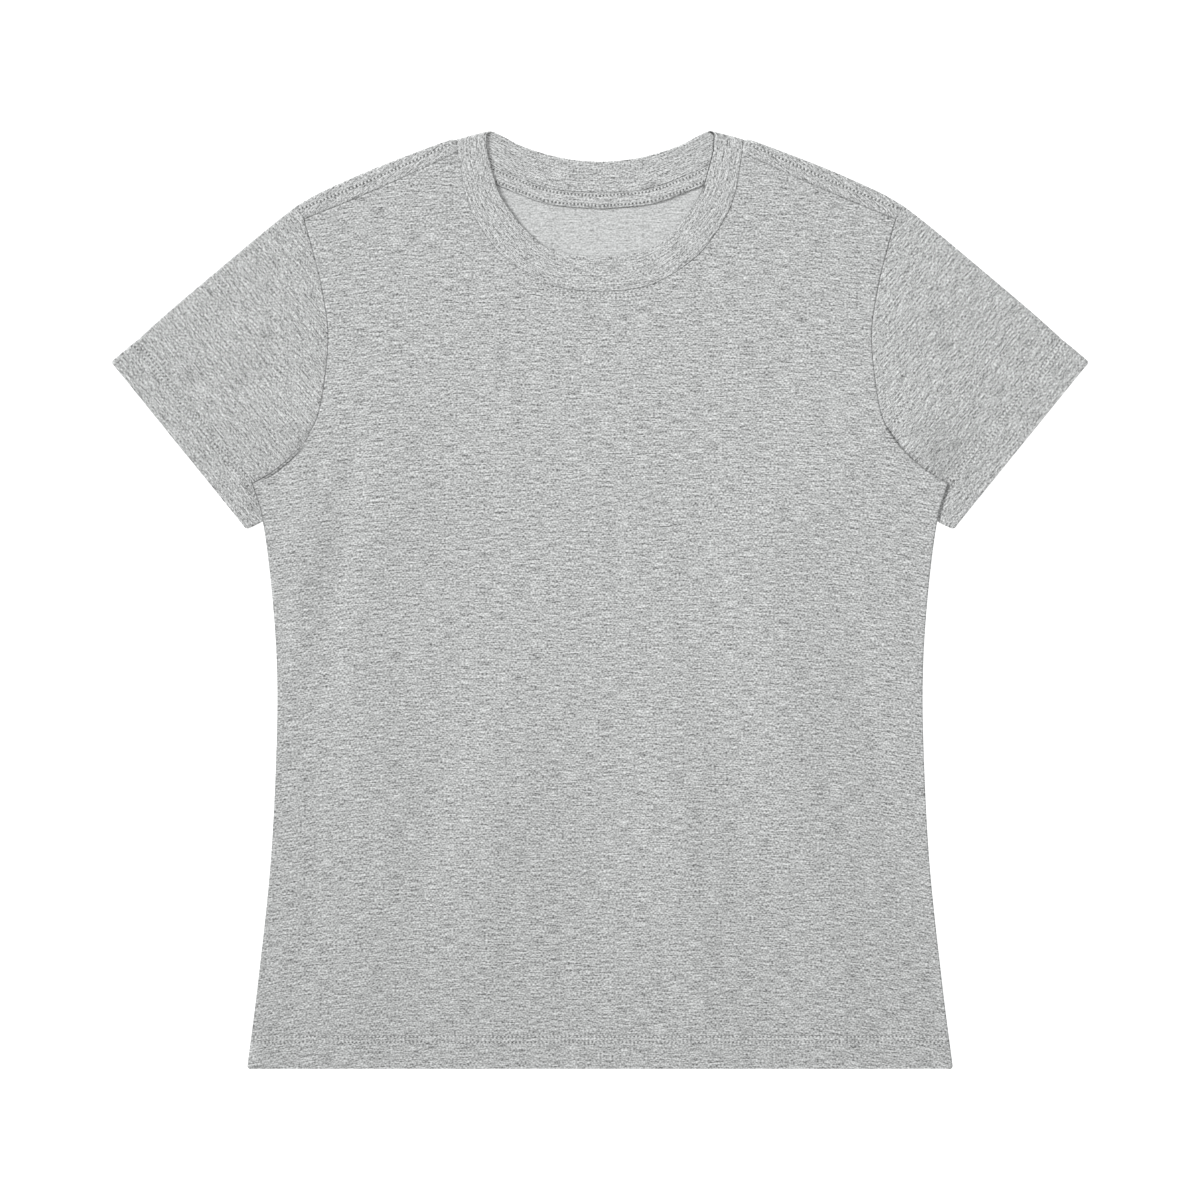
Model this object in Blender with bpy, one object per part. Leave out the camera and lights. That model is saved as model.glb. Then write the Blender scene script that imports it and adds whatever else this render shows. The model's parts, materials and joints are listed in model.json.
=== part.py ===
"""Crew neck t-shirt, laid out flat on its back.

The neck points to +Y and the front faces +Z, so the wearer's left is at +X. The origin lies on the
surface under the middle of the shirt. Every piece is a wall of cloth worked out from half-pattern
tables: a row is a point (out, up) of one half, and the other half mirrors it.

The layers, from the surface up: back panel, back neck tape, front panel. The back panel turns over
the shoulder and meets the front at a forward shoulder seam. At the underarm the sleeve is tucked
under the body, so both panels rise over it.
"""
import bmesh
import bpy
import numpy as np

# ---- Driving dimensions, metres -----------------------------------------------------------------
WALL = 0.0010            # jersey
HEM_EXTRA = 0.0003       # what the turned-up hem adds inside the wall
BAND_WALL = 0.0018       # neckband, folded double
SEAM_GAP = 0.0003        # between neighbouring pieces
FRONT_MID = 0.0021       # mid height of the front layer where it lies flat
BACK_MID = WALL / 2
HEM_RISE = 0.0005        # the front lies this much higher over a hem
TAPE_WIDTH = 0.0109
TAPE_REACH = 0.93        # the tape covers this share of the back neck seam
TAPE_MID = 0.0018
BAND_STEP = 0.0001       # the band's middle lies this much above the front panel's
NECK_RISE = 0.0003       # the front lies higher round the neck, over the seam
TAPE_RISE = 0.0011       # and higher still where it passes over the tape
TUCK_RISE = 0.0035       # both panels pass over the two layers of the tucked sleeve
ROLL_START = 0.0022      # a panel starts to turn down this far inside its side
ROLL_SHARE = ((0.0829, 0.1397, 0.2000), (1.0, 0.55, 0.0))   # up, and how far its side turns there

# Where the layers ease from one height to the next: (start, end), metres.
HEM_EASE = (0.0190, 0.0230)      # up from the body's hem, which is turned up by the first
CUFF_EASE = (0.0220, 0.0250)     # in from the cuff, which is turned up by the first
NECK_EASE_UP = (0.175, 0.215)    # up, below the neck
NECK_EASE_OUT = (0.125, 0.190)   # out, along the shoulder
TAPE_EASE_UP = (0.245, 0.300)
TUCK_EASE_IN = (0.020, 0.052)    # in from the sleeve's hidden end
TUCK_EASE_DOWN = (0.017, 0.050)  # down from the sleeve's lower fold
TUCK_EASE_UP = (0.148, 0.200)    # up the armhole
FOLD_EASE_IN = (0.012, 0.040)    # in from the widest point of the hem
SLEEVE_EASE_IN = 0.022           # out from the body
SLEEVE_FOLD_EDGE = 0.22          # share of the sleeve's width, in from each of its edges

# ---- Half pattern: (out, up) --------------------------------------------------------------------
SIDE = (                 # from the hem up to the underarm
    (0.2503, -0.3327), (0.2425, -0.2700), (0.2339, -0.1850), (0.2297, -0.1000),
    (0.2297, -0.0430), (0.2339, 0.0140), (0.2396, 0.0570), (0.2471, 0.0829))
ARMHOLE = (              # from the underarm up to the forward shoulder seam
    (0.2471, 0.0829), (0.2322, 0.0921), (0.2176, 0.1056), (0.2052, 0.1198), (0.1981, 0.1397),
    (0.1931, 0.1858), (0.1967, 0.2206), (0.2031, 0.2473), (0.2102, 0.2703))
SHOULDER_SEAM = (        # on the front, from the armhole to the neck
    (0.2102, 0.2703), (0.1810, 0.2820), (0.1534, 0.2937), (0.1285, 0.3050), (0.1005, 0.3179))
SHOULDER_FOLD = (        # the outline, from the armhole to the neck
    (0.2151, 0.2802), (0.1988, 0.2895), (0.1704, 0.3023), (0.1491, 0.3108), (0.1136, 0.3236),
    (0.1014, 0.3275))
FRONT_NECK_SEAM = (      # from the shoulder seam to the centre front
    (0.1005, 0.3179), (0.0985, 0.3050), (0.0960, 0.2900), (0.0910, 0.2760), (0.0815, 0.2600),
    (0.0675, 0.2433), (0.0430, 0.2270), (0.0220, 0.2208), (0.0, 0.2192))
FRONT_NECK_EDGE = (      # the band's fold, from the shoulder to the centre front
    (0.0790, 0.3179), (0.0752, 0.3000), (0.0710, 0.2880), (0.0610, 0.2725), (0.0500, 0.2600),
    (0.0375, 0.2507), (0.0190, 0.2450), (0.0, 0.2437))
BACK_NECK_SEAM = (       # from the shoulder fold to the centre back
    (0.1012, 0.3252), (0.0781, 0.3097), (0.0554, 0.2995), (0.0327, 0.2919), (0.0, 0.2890))
BACK_NECK_EDGE = (
    (0.0785, 0.3302), (0.0700, 0.3285), (0.0568, 0.3229), (0.0426, 0.3179), (0.0284, 0.3144),
    (0.0142, 0.3122), (0.0, 0.3115))
BAND_FOLD_SEAM = (0.1012, 0.3252)    # centre of the band's turn over the shoulder, at the seam
BAND_FOLD_EDGE = (0.0785, 0.3302)    # and at the neck edge
CUFF_TOP = (0.3458, 0.1699)
CUFF_BOTTOM = (0.2510, 0.0504)
TUCK_START = 0.1397      # height on the armhole under which the sleeve goes under the body
TUCK_END = ((0.1920, 0.1150), (0.1810, 0.0829))   # the sleeve's hidden end, down to its lower fold

# ---- Largest folds: ridges in the upper layer ---------------------------------------------------
FOLD_COLUMNS = ("across", "up", "half_length", "half_width", "rise", "lean")   # lean in degrees
BODY_FOLDS = (
    (-0.095, -0.150, 0.120, 0.024, 0.0014, 3),
    (0.028, -0.235, 0.105, 0.026, 0.0016, -3),
    (0.100, -0.105, 0.110, 0.026, 0.0012, -4),
    (-0.172, 0.005, 0.090, 0.024, 0.0012, 6),
    (0.186, -0.020, 0.080, 0.022, 0.0014, -9),
    (-0.030, -0.060, 0.080, 0.030, 0.0008, 2),
    (0.165, -0.270, 0.060, 0.024, 0.0009, -6),
    (-0.165, -0.265, 0.060, 0.026, 0.0009, 5),
    (0.000, 0.110, 0.090, 0.060, 0.0007, 80))
SLEEVE_FOLDS = (
    (-0.262, 0.182, 0.050, 0.016, 0.0012, 82),
    (-0.262, 0.130, 0.046, 0.018, 0.0012, 66),
    (0.240, 0.215, 0.040, 0.018, 0.0011, 52),
    (0.272, 0.130, 0.045, 0.018, 0.0013, -48))

# ---- How finely each stretch is divided ---------------------------------------------------------
SIDE_ROWS = 18           # above the hem
ARMHOLE_ROWS = 14
SHOULDER_COLUMNS = 4     # on each side
NECK_COLUMNS = 12        # on each side
ROLL_STEPS = 3
TURN_STEPS = 5           # round a fold
SLEEVE_ROWS = 9
HIDDEN_STEPS = 4
SLEEVE_TURN_STEPS = 4


# ---- Curves in plan -----------------------------------------------------------------------------
def smooth_step(value, low, high):
    """0 below low, 1 above high, eased between: 3t^2 - 2t^3."""
    t = np.clip((value - low) / (high - low), 0.0, 1.0)
    return t * t * (3.0 - 2.0 * t)


def through(points, segments):
    """Points evenly spaced along a Catmull-Rom curve through the given ones."""
    knots = np.asarray(points, float)
    ends = np.vstack([2 * knots[0] - knots[1], knots, 2 * knots[-1] - knots[-2]])
    t = np.linspace(0.0, 1.0, 24, endpoint=False)[:, None]
    spans = []
    for a, b, c, d in zip(ends[:-3], ends[1:-2], ends[2:-1], ends[3:]):
        spans.append(0.5 * (2 * b + (c - a) * t + (2 * a - 5 * b + 4 * c - d) * t ** 2
                            + (3 * b - a - 3 * c + d) * t ** 3))
    dense = np.vstack(spans + [knots[-1:]])
    return spaced(dense, np.linspace(0.0, 1.0, segments + 1))


def spaced(line, shares):
    """Points at the given shares of a line's length."""
    run = np.concatenate([[0.0], np.cumsum(np.linalg.norm(np.diff(line, axis=0), axis=1))])
    return np.column_stack([np.interp(np.asarray(shares) * run[-1], run, line[:, axis])
                            for axis in range(line.shape[1])])


def unit(vector):
    return np.asarray(vector, float) / np.linalg.norm(vector)


def mirrored(half):
    """A half line that ends on the middle, with its mirror image: from -X to +X."""
    left = half * (-1, 1)
    return np.vstack([left, half[-2::-1]])


def normals_of(line):
    """Unit normals in plan, on the right hand of a line."""
    along = np.gradient(line, axis=0)
    along /= np.linalg.norm(along, axis=1, keepdims=True)
    return np.column_stack([along[:, 1], -along[:, 0]])


def moved(line, distance):
    """A line moved to its right by a distance."""
    return line + normals_of(line) * distance


# ---- Heights of the layers ----------------------------------------------------------------------
def ridges(x, y, table):
    """Sum of rise * exp(-(across/half_width)^2) * exp(-(along/half_length)^2) over the folds."""
    total = np.zeros_like(x)
    for row in table:
        fold = dict(zip(FOLD_COLUMNS, row))
        lean = np.radians(fold["lean"])
        dx, dy = x - fold["across"], y - fold["up"]
        along = dx * np.sin(lean) + dy * np.cos(lean)
        across = dx * np.cos(lean) - dy * np.sin(lean)
        total += fold["rise"] * np.exp(-(across / fold["half_width"]) ** 2
                                       - (along / fold["half_length"]) ** 2)
    return total


def body_half_width(y):
    """How far out the body's outline lies at a height."""
    outline = np.array(SIDE + ARMHOLE[1:])
    return np.interp(y, outline[:, 1], outline[:, 0])


def tuck_rise(x, y):
    """Both panels rise where the sleeve is tucked under them, and settle again round it."""
    out = np.abs(x)
    start = (body_half_width(TUCK_START), TUCK_START)
    end_out, end_up = np.transpose((TUCK_END[1], TUCK_END[0], start))
    hidden_end = np.interp(y, end_up, end_out)
    lower_fold = np.interp(out, (TUCK_END[1][0], CUFF_BOTTOM[0]), (TUCK_END[1][1], CUFF_BOTTOM[1]))
    beside = 1.0 - smooth_step(hidden_end - out, *TUCK_EASE_IN)
    above = 1.0 - smooth_step(lower_fold - y, *TUCK_EASE_DOWN)
    below = 1.0 - smooth_step(y, *TUCK_EASE_UP)
    return TUCK_RISE * beside * above * below


def back_height(x, y):
    """Mid height of the back panel."""
    return BACK_MID + tuck_rise(x, y)


def front_height(x, y):
    """Mid height of the front panel, the turned-over shoulder and, with BAND_STEP, the band."""
    out = np.abs(x)
    hem = HEM_RISE * (1.0 - smooth_step(y - SIDE[0][1], *HEM_EASE))
    near_neck = smooth_step(y, *NECK_EASE_UP) * (1.0 - smooth_step(out, *NECK_EASE_OUT))
    neck = near_neck * (NECK_RISE + TAPE_RISE * smooth_step(y, *TAPE_EASE_UP))
    inside = smooth_step(SIDE[0][0] - out, *FOLD_EASE_IN)
    return FRONT_MID + hem + neck + tuck_rise(x, y) + inside * ridges(x, y, BODY_FOLDS)


# ---- Solids -------------------------------------------------------------------------------------
def turn_faces_out(mesh):
    """Flip every face where the volume that they enclose comes out negative."""
    form = bmesh.new()
    form.from_mesh(mesh)
    if form.calc_volume(signed=True) < 0:
        bmesh.ops.reverse_faces(form, faces=form.faces)
    form.to_mesh(mesh)
    form.free()


def add_object(name, vertices, faces, material):
    mesh = bpy.data.meshes.new(name)
    mesh.from_pydata([tuple(v) for v in vertices], [], [tuple(f) for f in faces])
    turn_faces_out(mesh)
    mesh.materials.append(material)
    mesh.shade_smooth()
    mesh.set_sharp_from_angle(angle=np.radians(50))
    piece = bpy.data.objects.new(name, mesh)
    bpy.context.scene.collection.objects.link(piece)
    return piece


def grid_faces(numbers):
    """Quads of a grid of vertex numbers, turning from the columns to the rows."""
    return np.stack([numbers[:-1, :-1], numbers[:-1, 1:], numbers[1:, 1:], numbers[1:, :-1]],
                    axis=-1).reshape(-1, 4)


def cloth_solid(name, sheet, quads, material, inner=WALL / 2):
    """A wall round a sheet of (point, normal) rows: two skins, and a rim along open edges."""
    points, normals = sheet[:, :3], sheet[:, 3:]
    count = len(sheet)
    outer_skin = points + normals * WALL / 2
    inner_skin = points - normals * np.reshape(inner, (-1, 1))
    edges = {}
    for quad in quads:
        for a, b in zip(quad, np.roll(quad, -1)):
            edges[(a, b)] = True
    rim = [(b, a, a + count, b + count) for a, b in edges if (b, a) not in edges]
    faces = list(quads) + [quad[::-1] + count for quad in quads] + rim
    return add_object(name, np.vstack([outer_skin, inner_skin]), faces, material)


def side_rows():
    """Points up the side, with rows at both ends of the ease above the hem."""
    table = np.asarray(SIDE)
    bottom, top = table[0, 1], table[-1, 1]
    dense = through(SIDE, 200)
    up = np.concatenate([[bottom, bottom + HEM_EASE[0]],
                         np.linspace(bottom + HEM_EASE[1], top, SIDE_ROWS)])
    return np.column_stack([np.interp(up, dense[:, 1], dense[:, 0]), up])


def coons(hem, top, side):
    """A grid between a hem, a top line and two mirrored sides; the hem's rows stay level."""
    run = np.concatenate([[0.0], np.cumsum(np.linalg.norm(np.diff(side, axis=0), axis=1))])
    v = np.clip((run - run[2]) / (run[-1] - run[2]), 0.0, 1.0)[:, None]
    u = np.linspace(-1.0, 1.0, len(hem))
    left_to_right = u[None, :]
    x = ((1 - v) * hem[None, :, 0] + v * top[None, :, 0]
         + left_to_right * (side[:, :1] - (1 - v) * hem[-1, 0] - v * top[-1, 0]))
    y = side[:, 1:] + v * (top[None, :, 1] - top[-1, 1])
    return np.stack([x, y], axis=-1)


def roll_profile(radius, share):
    """How a side turns over. Lengths in from the outline, drops and angles of ROLL_STEPS + 1
    points, evenly spaced on a level run and then an arc of share * 90 degrees."""
    angle = share * np.pi / 2
    arc_start = (radius + WALL / 2) * np.sin(angle)
    flat = ROLL_START - arc_start
    run = np.linspace(0.0, flat + radius * angle, ROLL_STEPS + 1)
    turned = np.clip((run - flat) / radius, 0.0, angle)
    inward = ROLL_START - np.minimum(run, flat) - radius * np.sin(turned)
    return inward, radius * (1.0 - np.cos(turned)), turned


def panel_sheet(side, top, face, height):
    """One panel: plan grid, heights and outward normals. face is +1 on the front, -1 on the back.
    Its sides turn towards the other panel, fully down the body and less and less up the armhole."""
    hem = np.column_stack([np.linspace(-side[0, 0], side[0, 0], len(top)),
                           np.full(len(top), side[0, 1])])
    plan = coons(hem, top, side)
    outward = normals_of(side)
    rows = len(side)
    share = np.interp(side[:, 1], *ROLL_SHARE)
    left, right = [], []
    for row in range(rows):
        x, y = side[row]
        gap = front_height(x, y) - back_height(x, y) - SEAM_GAP
        inward, drop, turned = roll_profile(gap / 2, share[row])
        base = height(x, y)
        block = np.column_stack([
            x - outward[row, 0] * inward, y - outward[row, 1] * inward, base - face * drop,
            outward[row, 0] * np.sin(turned), outward[row, 1] * np.sin(turned),
            face * np.cos(turned)])
        right.append(block)
        left.append(block[::-1] * (-1, 1, 1, -1, 1, 1))
    inner = plan[:, 1:-1]
    level = np.zeros(inner.shape[:2] + (3,))
    level[..., 2] = face
    middle = np.concatenate([inner, height(inner[..., 0], inner[..., 1])[..., None], level], axis=-1)
    return np.concatenate([np.array(left), middle, np.array(right)], axis=1)


def hem_thickness(points):
    """The wall's inner half, thicker within the turned-up hem."""
    hem = points[:, 1] < SIDE[0][1] + np.mean(HEM_EASE)
    return np.where(hem, WALL / 2 + HEM_EXTRA, WALL / 2)


# ---- Seams that two pieces share ----------------------------------------------------------------
def seam_lines():
    """Every seam once, so that both of its pieces use the same points."""
    fold = through(SHOULDER_FOLD, SHOULDER_COLUMNS)
    seam = through(SHOULDER_SEAM, SHOULDER_COLUMNS)
    fold_out = normals_of(fold)
    turn = (front_height(seam[:, 0], seam[:, 1]) - BACK_MID) / 2
    centre = fold - fold_out * (turn + WALL / 2)[:, None]
    centre[-1] = np.array(BAND_FOLD_SEAM) + SEAM_GAP * unit(centre[-2] - centre[-1])
    return {"armhole": through(ARMHOLE, ARMHOLE_ROWS), "shoulder_seam": seam,
            "fold_centre": centre, "fold_out": fold_out, "turn": turn,
            "front_neck": through(FRONT_NECK_SEAM, NECK_COLUMNS),
            "back_neck": through(BACK_NECK_SEAM, NECK_COLUMNS)}


def beside(line, distance):
    """A line moved to its left by a distance, away from the neck, ending on the middle."""
    edge = moved(line, -distance)
    edge[-1, 0] = 0.0
    return edge


def sheet_numbers(sheet, first=0):
    """Vertex numbers for a grid of rows, counted on from the first."""
    return first + np.arange(sheet.shape[0] * sheet.shape[1]).reshape(sheet.shape[:2])


# ---- Pieces -------------------------------------------------------------------------------------
def front_panel(lines, material):
    shoulder = moved(lines["shoulder_seam"], -SEAM_GAP / 2)
    top = mirrored(np.vstack([shoulder[:-1], beside(lines["front_neck"], SEAM_GAP)]))
    side = np.vstack([side_rows(), lines["armhole"][1:-1], shoulder[:1]])
    sheet = panel_sheet(side, top, 1, front_height)
    flat = sheet.reshape(-1, 6)
    faces = grid_faces(sheet_numbers(sheet))
    return cloth_solid("front_panel", flat, faces, material, hem_thickness(flat))


def back_panel(lines, material):
    """The back lies on the surface, turns over the shoulder fold and ends at the forward seam."""
    centre = lines["fold_centre"]
    top = mirrored(np.vstack([centre[:-1], beside(lines["back_neck"], SEAM_GAP)]))
    side = np.vstack([side_rows(), lines["armhole"][1:], centre[:1]])
    sheet = panel_sheet(side, top, -1, back_height)
    numbers = sheet_numbers(sheet)
    faces = [grid_faces(numbers)]
    flat = [sheet.reshape(-1, 6)]
    used = numbers.size
    width = SHOULDER_COLUMNS + ROLL_STEPS + 1
    for columns in (numbers[-1, :width], numbers[-1, -width:]):
        over = shoulder_turn(flat[0][columns], lines)
        added = sheet_numbers(over, used)
        faces.append(grid_faces(np.vstack([columns, added])))
        flat.append(over.reshape(-1, 6))
        used += added.size
    flat = np.vstack(flat)
    return cloth_solid("back_panel", flat, np.vstack(faces), material, hem_thickness(flat))


def shoulder_turn(row, lines):
    """Rows that carry the back's top row round the shoulder fold and on to the forward seam."""
    side = np.sign(row[0, 0])
    out = np.abs(row[:, 0])
    known = lines["fold_centre"][::-1, 0]
    fold_out = np.column_stack([np.interp(out, known, lines["fold_out"][::-1, k]) for k in (0, 1)])
    turn = np.interp(out, known, lines["turn"][::-1])
    seam = moved(lines["shoulder_seam"], SEAM_GAP / 2)[::-1]
    end = np.column_stack([np.interp(out, known, seam[:, k]) for k in (0, 1)])
    centre = np.column_stack([out, row[:, 1]])
    rows = []
    for angle in np.linspace(0.0, np.pi, TURN_STEPS + 1)[1:]:
        plan = centre + fold_out * (turn * np.sin(angle))[:, None]
        rows.append(np.column_stack([plan, BACK_MID + turn * (1 - np.cos(angle)),
                                     fold_out * np.sin(angle),
                                     np.full(len(out), -np.cos(angle))]))
    level = np.column_stack([end, front_height(end[:, 0], end[:, 1]),
                             np.zeros((len(out), 2)), np.ones(len(out))])
    rows.append(level)
    return np.array(rows) * (side, 1, 1, side, 1, 1)


def sleeve_rows(lines):
    """Plan lines from the top fold to the lower fold, from the cuff to the armhole, and how the
    points share each line. The last line follows the armhole seam and then runs on, hidden."""
    edge = (FRONT_MID - BACK_MID + WALL) / 2
    armhole = lines["armhole"][::-1]
    seen = moved(np.vstack([lines["fold_centre"][:1], armhole[armhole[:, 1] > TUCK_START]]),
                 -SEAM_GAP)
    hidden = spaced(np.vstack([seen[-1:], TUCK_END]), np.linspace(0, 1, HIDDEN_STEPS + 1))
    hidden[-1] -= edge * unit(hidden[-1] - hidden[-2])
    end = np.vstack([seen, hidden[1:]])
    shares = np.concatenate([[0], np.cumsum(np.linalg.norm(np.diff(end, axis=0), axis=1))])
    shares /= shares[-1]
    down_cuff = unit(np.subtract(CUFF_BOTTOM, CUFF_TOP))
    into_body = np.array([down_cuff[1], -down_cuff[0]])
    cuff_top = CUFF_TOP + down_cuff * edge
    cuff_bottom = CUFF_BOTTOM - down_cuff * edge
    rows = []
    for depth in (0.0, *CUFF_EASE):
        first = at_depth(cuff_top, end[0], into_body, depth)
        last = at_depth(cuff_bottom, end[-1], into_body, depth)
        rows.append(first + (last - first) * shares[:, None])
    rows += [rows[2] * (1 - t) + end * t for t in np.linspace(0.0, 1.0, SLEEVE_ROWS)[1:]]
    return rows, shares


def sleeve(name, lines, side, material):
    """A flattened tube from the cuff to the armhole. side is +1 on the wearer's left."""
    rows, shares = sleeve_rows(lines)
    inside = smooth_step(shares, 0, SLEEVE_FOLD_EDGE) * smooth_step(1 - shares, 0, SLEEVE_FOLD_EDGE)
    rings = []
    for index, plan in enumerate(rows):
        x, y = plan.T
        clear = inside * smooth_step(x - body_half_width(y), 0.0, SLEEVE_EASE_IN)
        bumps = ridges(x * side, y, SLEEVE_FOLDS) * clear
        rings.append(tube_ring(plan, FRONT_MID + HEM_RISE * (index < 2) + bumps))
    rings = np.array(rings) * (side, 1, 1, side, 1, 1)
    numbers = sheet_numbers(rings)
    inner = np.full(rings.shape[:2], WALL / 2)
    inner[:2] += HEM_EXTRA
    return cloth_solid(name, rings.reshape(-1, 6), grid_faces(closed(numbers)), material, inner)


def at_depth(start, end, across, depth):
    """The point of a line from start to end that is a given depth along another direction."""
    way = end - start
    return start + way * depth / np.dot(way, across)


def closed(numbers):
    """Vertex numbers with the first column again at the end."""
    return np.hstack([numbers, numbers[:, :1]])


def tube_ring(plan, upper):
    """One ring of a flattened tube: the upper layer, a turn, the lower layer and the other turn."""
    flat_up = np.column_stack([plan, upper, np.zeros((len(plan), 2)), np.ones(len(plan))])
    flat_down = np.column_stack([plan, np.full(len(plan), BACK_MID), np.zeros((len(plan), 2)),
                                 -np.ones(len(plan))])[::-1]
    turns = []
    for corner, outward, start in ((-1, plan[-1] - plan[-2], 0.0), (0, plan[0] - plan[1], np.pi)):
        radius = (upper[corner] - BACK_MID) / 2
        outward = unit(outward)
        angle = start + np.linspace(0, np.pi, SLEEVE_TURN_STEPS + 1)[1:-1]
        reach = np.abs(np.sin(angle))
        xy = plan[corner] + outward * (radius * reach)[:, None]
        turns.append(np.column_stack([xy, BACK_MID + radius * (1 + np.cos(angle)),
                                      outward * reach[:, None], np.cos(angle)]))
    return np.vstack([flat_up, turns[0], flat_down, turns[1]])


def neckband(lines, material):
    """A strip folded double and joined into a ring: a flat section with a rounded neck edge."""
    back = ring_part(through(BACK_NECK_EDGE, NECK_COLUMNS)[::-1], lines["back_neck"][::-1],
                     lambda point: np.full(len(point), BAND_WALL / 2), -1.0)
    front_edge = np.vstack([BAND_FOLD_EDGE, through(FRONT_NECK_EDGE, NECK_COLUMNS)])
    front_seam = np.vstack([BAND_FOLD_SEAM, lines["front_neck"]])
    front = ring_part(front_edge, front_seam,
                      lambda point: front_height(point[:, 0], point[:, 1]) + BAND_STEP, 1.0)
    half = np.concatenate([back, band_turn(back[-1], front[0]), front])
    other = half[-2:0:-1] * (-1, 1, 1, -1, 1, 1, -1, 1, 1)
    ring = np.concatenate([half, other])
    edge, seam, normal = ring[:, :3], ring[:, 3:6], ring[:, 6:]
    width = np.linalg.norm(edge - seam, axis=1)[:, None]
    radius = BAND_WALL / 2
    section = ((1.0, 0.0, radius), (0.5, 0.0, radius), (0.0, radius, radius),
               (0.0, 0.29 * radius, 0.71 * radius))
    upper, lower = [], []
    for seam_share, from_edge, half_wall in section:
        at_seam = np.maximum(seam_share, from_edge / width)
        point = edge + (seam - edge) * at_seam
        upper.append(point + normal * half_wall)
        lower.append(point - normal * half_wall)
    loops = np.stack(upper + [edge] + lower[::-1], axis=1)
    numbers = closed(closed(sheet_numbers(loops)).T)
    return add_object("neckband", loops.reshape(-1, 3), grid_faces(numbers), material)


def ring_part(edge, seam, height, face):
    """Rows of (edge point, seam point, normal) for one stretch of the band."""
    normal = np.tile((0.0, 0.0, face), (len(edge), 1))
    return np.column_stack([edge, height(edge), seam, height(seam), normal])


def band_turn(back, front):
    """Rows that carry the band round the shoulder fold, from its back row to its front row."""
    along = unit(np.subtract(BAND_FOLD_SEAM, BAND_FOLD_EDGE))
    outward = np.array([-along[1], along[0]])
    rows = []
    for angle in np.linspace(0, np.pi, TURN_STEPS + 1)[1:-1]:
        row = []
        for column in (0, 3):
            radius = (front[column + 2] - back[column + 2]) / 2
            row.extend(back[column:column + 2] + outward * radius * np.sin(angle))
            row.append(back[column + 2] + radius * (1 - np.cos(angle)))
        row.extend([*(outward * np.sin(angle)), -np.cos(angle)])
        rows.append(row)
    return np.array(rows)


def neck_tape(lines, material):
    """A narrow strip on the inside of the back, along the neck seam."""
    seam = spaced(lines["back_neck"], np.linspace(1 - TAPE_REACH, 1, NECK_COLUMNS + 1))
    plan = np.array([mirrored(beside(seam, SEAM_GAP + share * TAPE_WIDTH))
                     for share in (0.0, 0.5, 1.0)])
    one = np.ones(plan.shape[:2] + (1,))
    sheet = np.concatenate([plan, TAPE_MID * one, np.zeros(plan.shape), one], axis=-1)
    faces = grid_faces(sheet_numbers(sheet))
    return cloth_solid("neck_tape", sheet.reshape(-1, 6), faces, material)


# ---- Build --------------------------------------------------------------------------------------
def cloth_material(name, grey, roughness):
    material = bpy.data.materials.new(name)
    material.use_nodes = True
    shader = material.node_tree.nodes["Principled BSDF"]
    shader.inputs["Base Color"].default_value = (grey, grey * 1.01, grey, 1.0)
    shader.inputs["Roughness"].default_value = roughness
    shader.inputs["Metallic"].default_value = 0.0
    material.diffuse_color = (grey, grey * 1.01, grey, 1.0)
    return material


def build():
    for old in list(bpy.data.objects):
        bpy.data.objects.remove(old, do_unlink=True)
    lines = seam_lines()
    front_panel(lines, cloth_material("front_jersey", 0.49, 0.9))
    back_panel(lines, cloth_material("back_jersey", 0.49, 0.9))
    sleeve("sleeve_left", lines, 1, cloth_material("left_sleeve_jersey", 0.50, 0.9))
    sleeve("sleeve_right", lines, -1, cloth_material("right_sleeve_jersey", 0.50, 0.9))
    neckband(lines, cloth_material("neckband_rib", 0.52, 0.9))
    neck_tape(lines, cloth_material("tape_jersey", 0.50, 0.9))


build()
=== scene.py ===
# %% [markdown]
# # A crew neck t-shirt, laid out flat
# The shirt is cut from four pieces of heather jersey and a strip that is folded double for the
# neckband. It lies on its back with its front up and its neck towards +Y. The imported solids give
# every piece its place. This script puts a thin shell of cloth on each of them, and then sews it.

# %% Load the frame
import json

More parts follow.
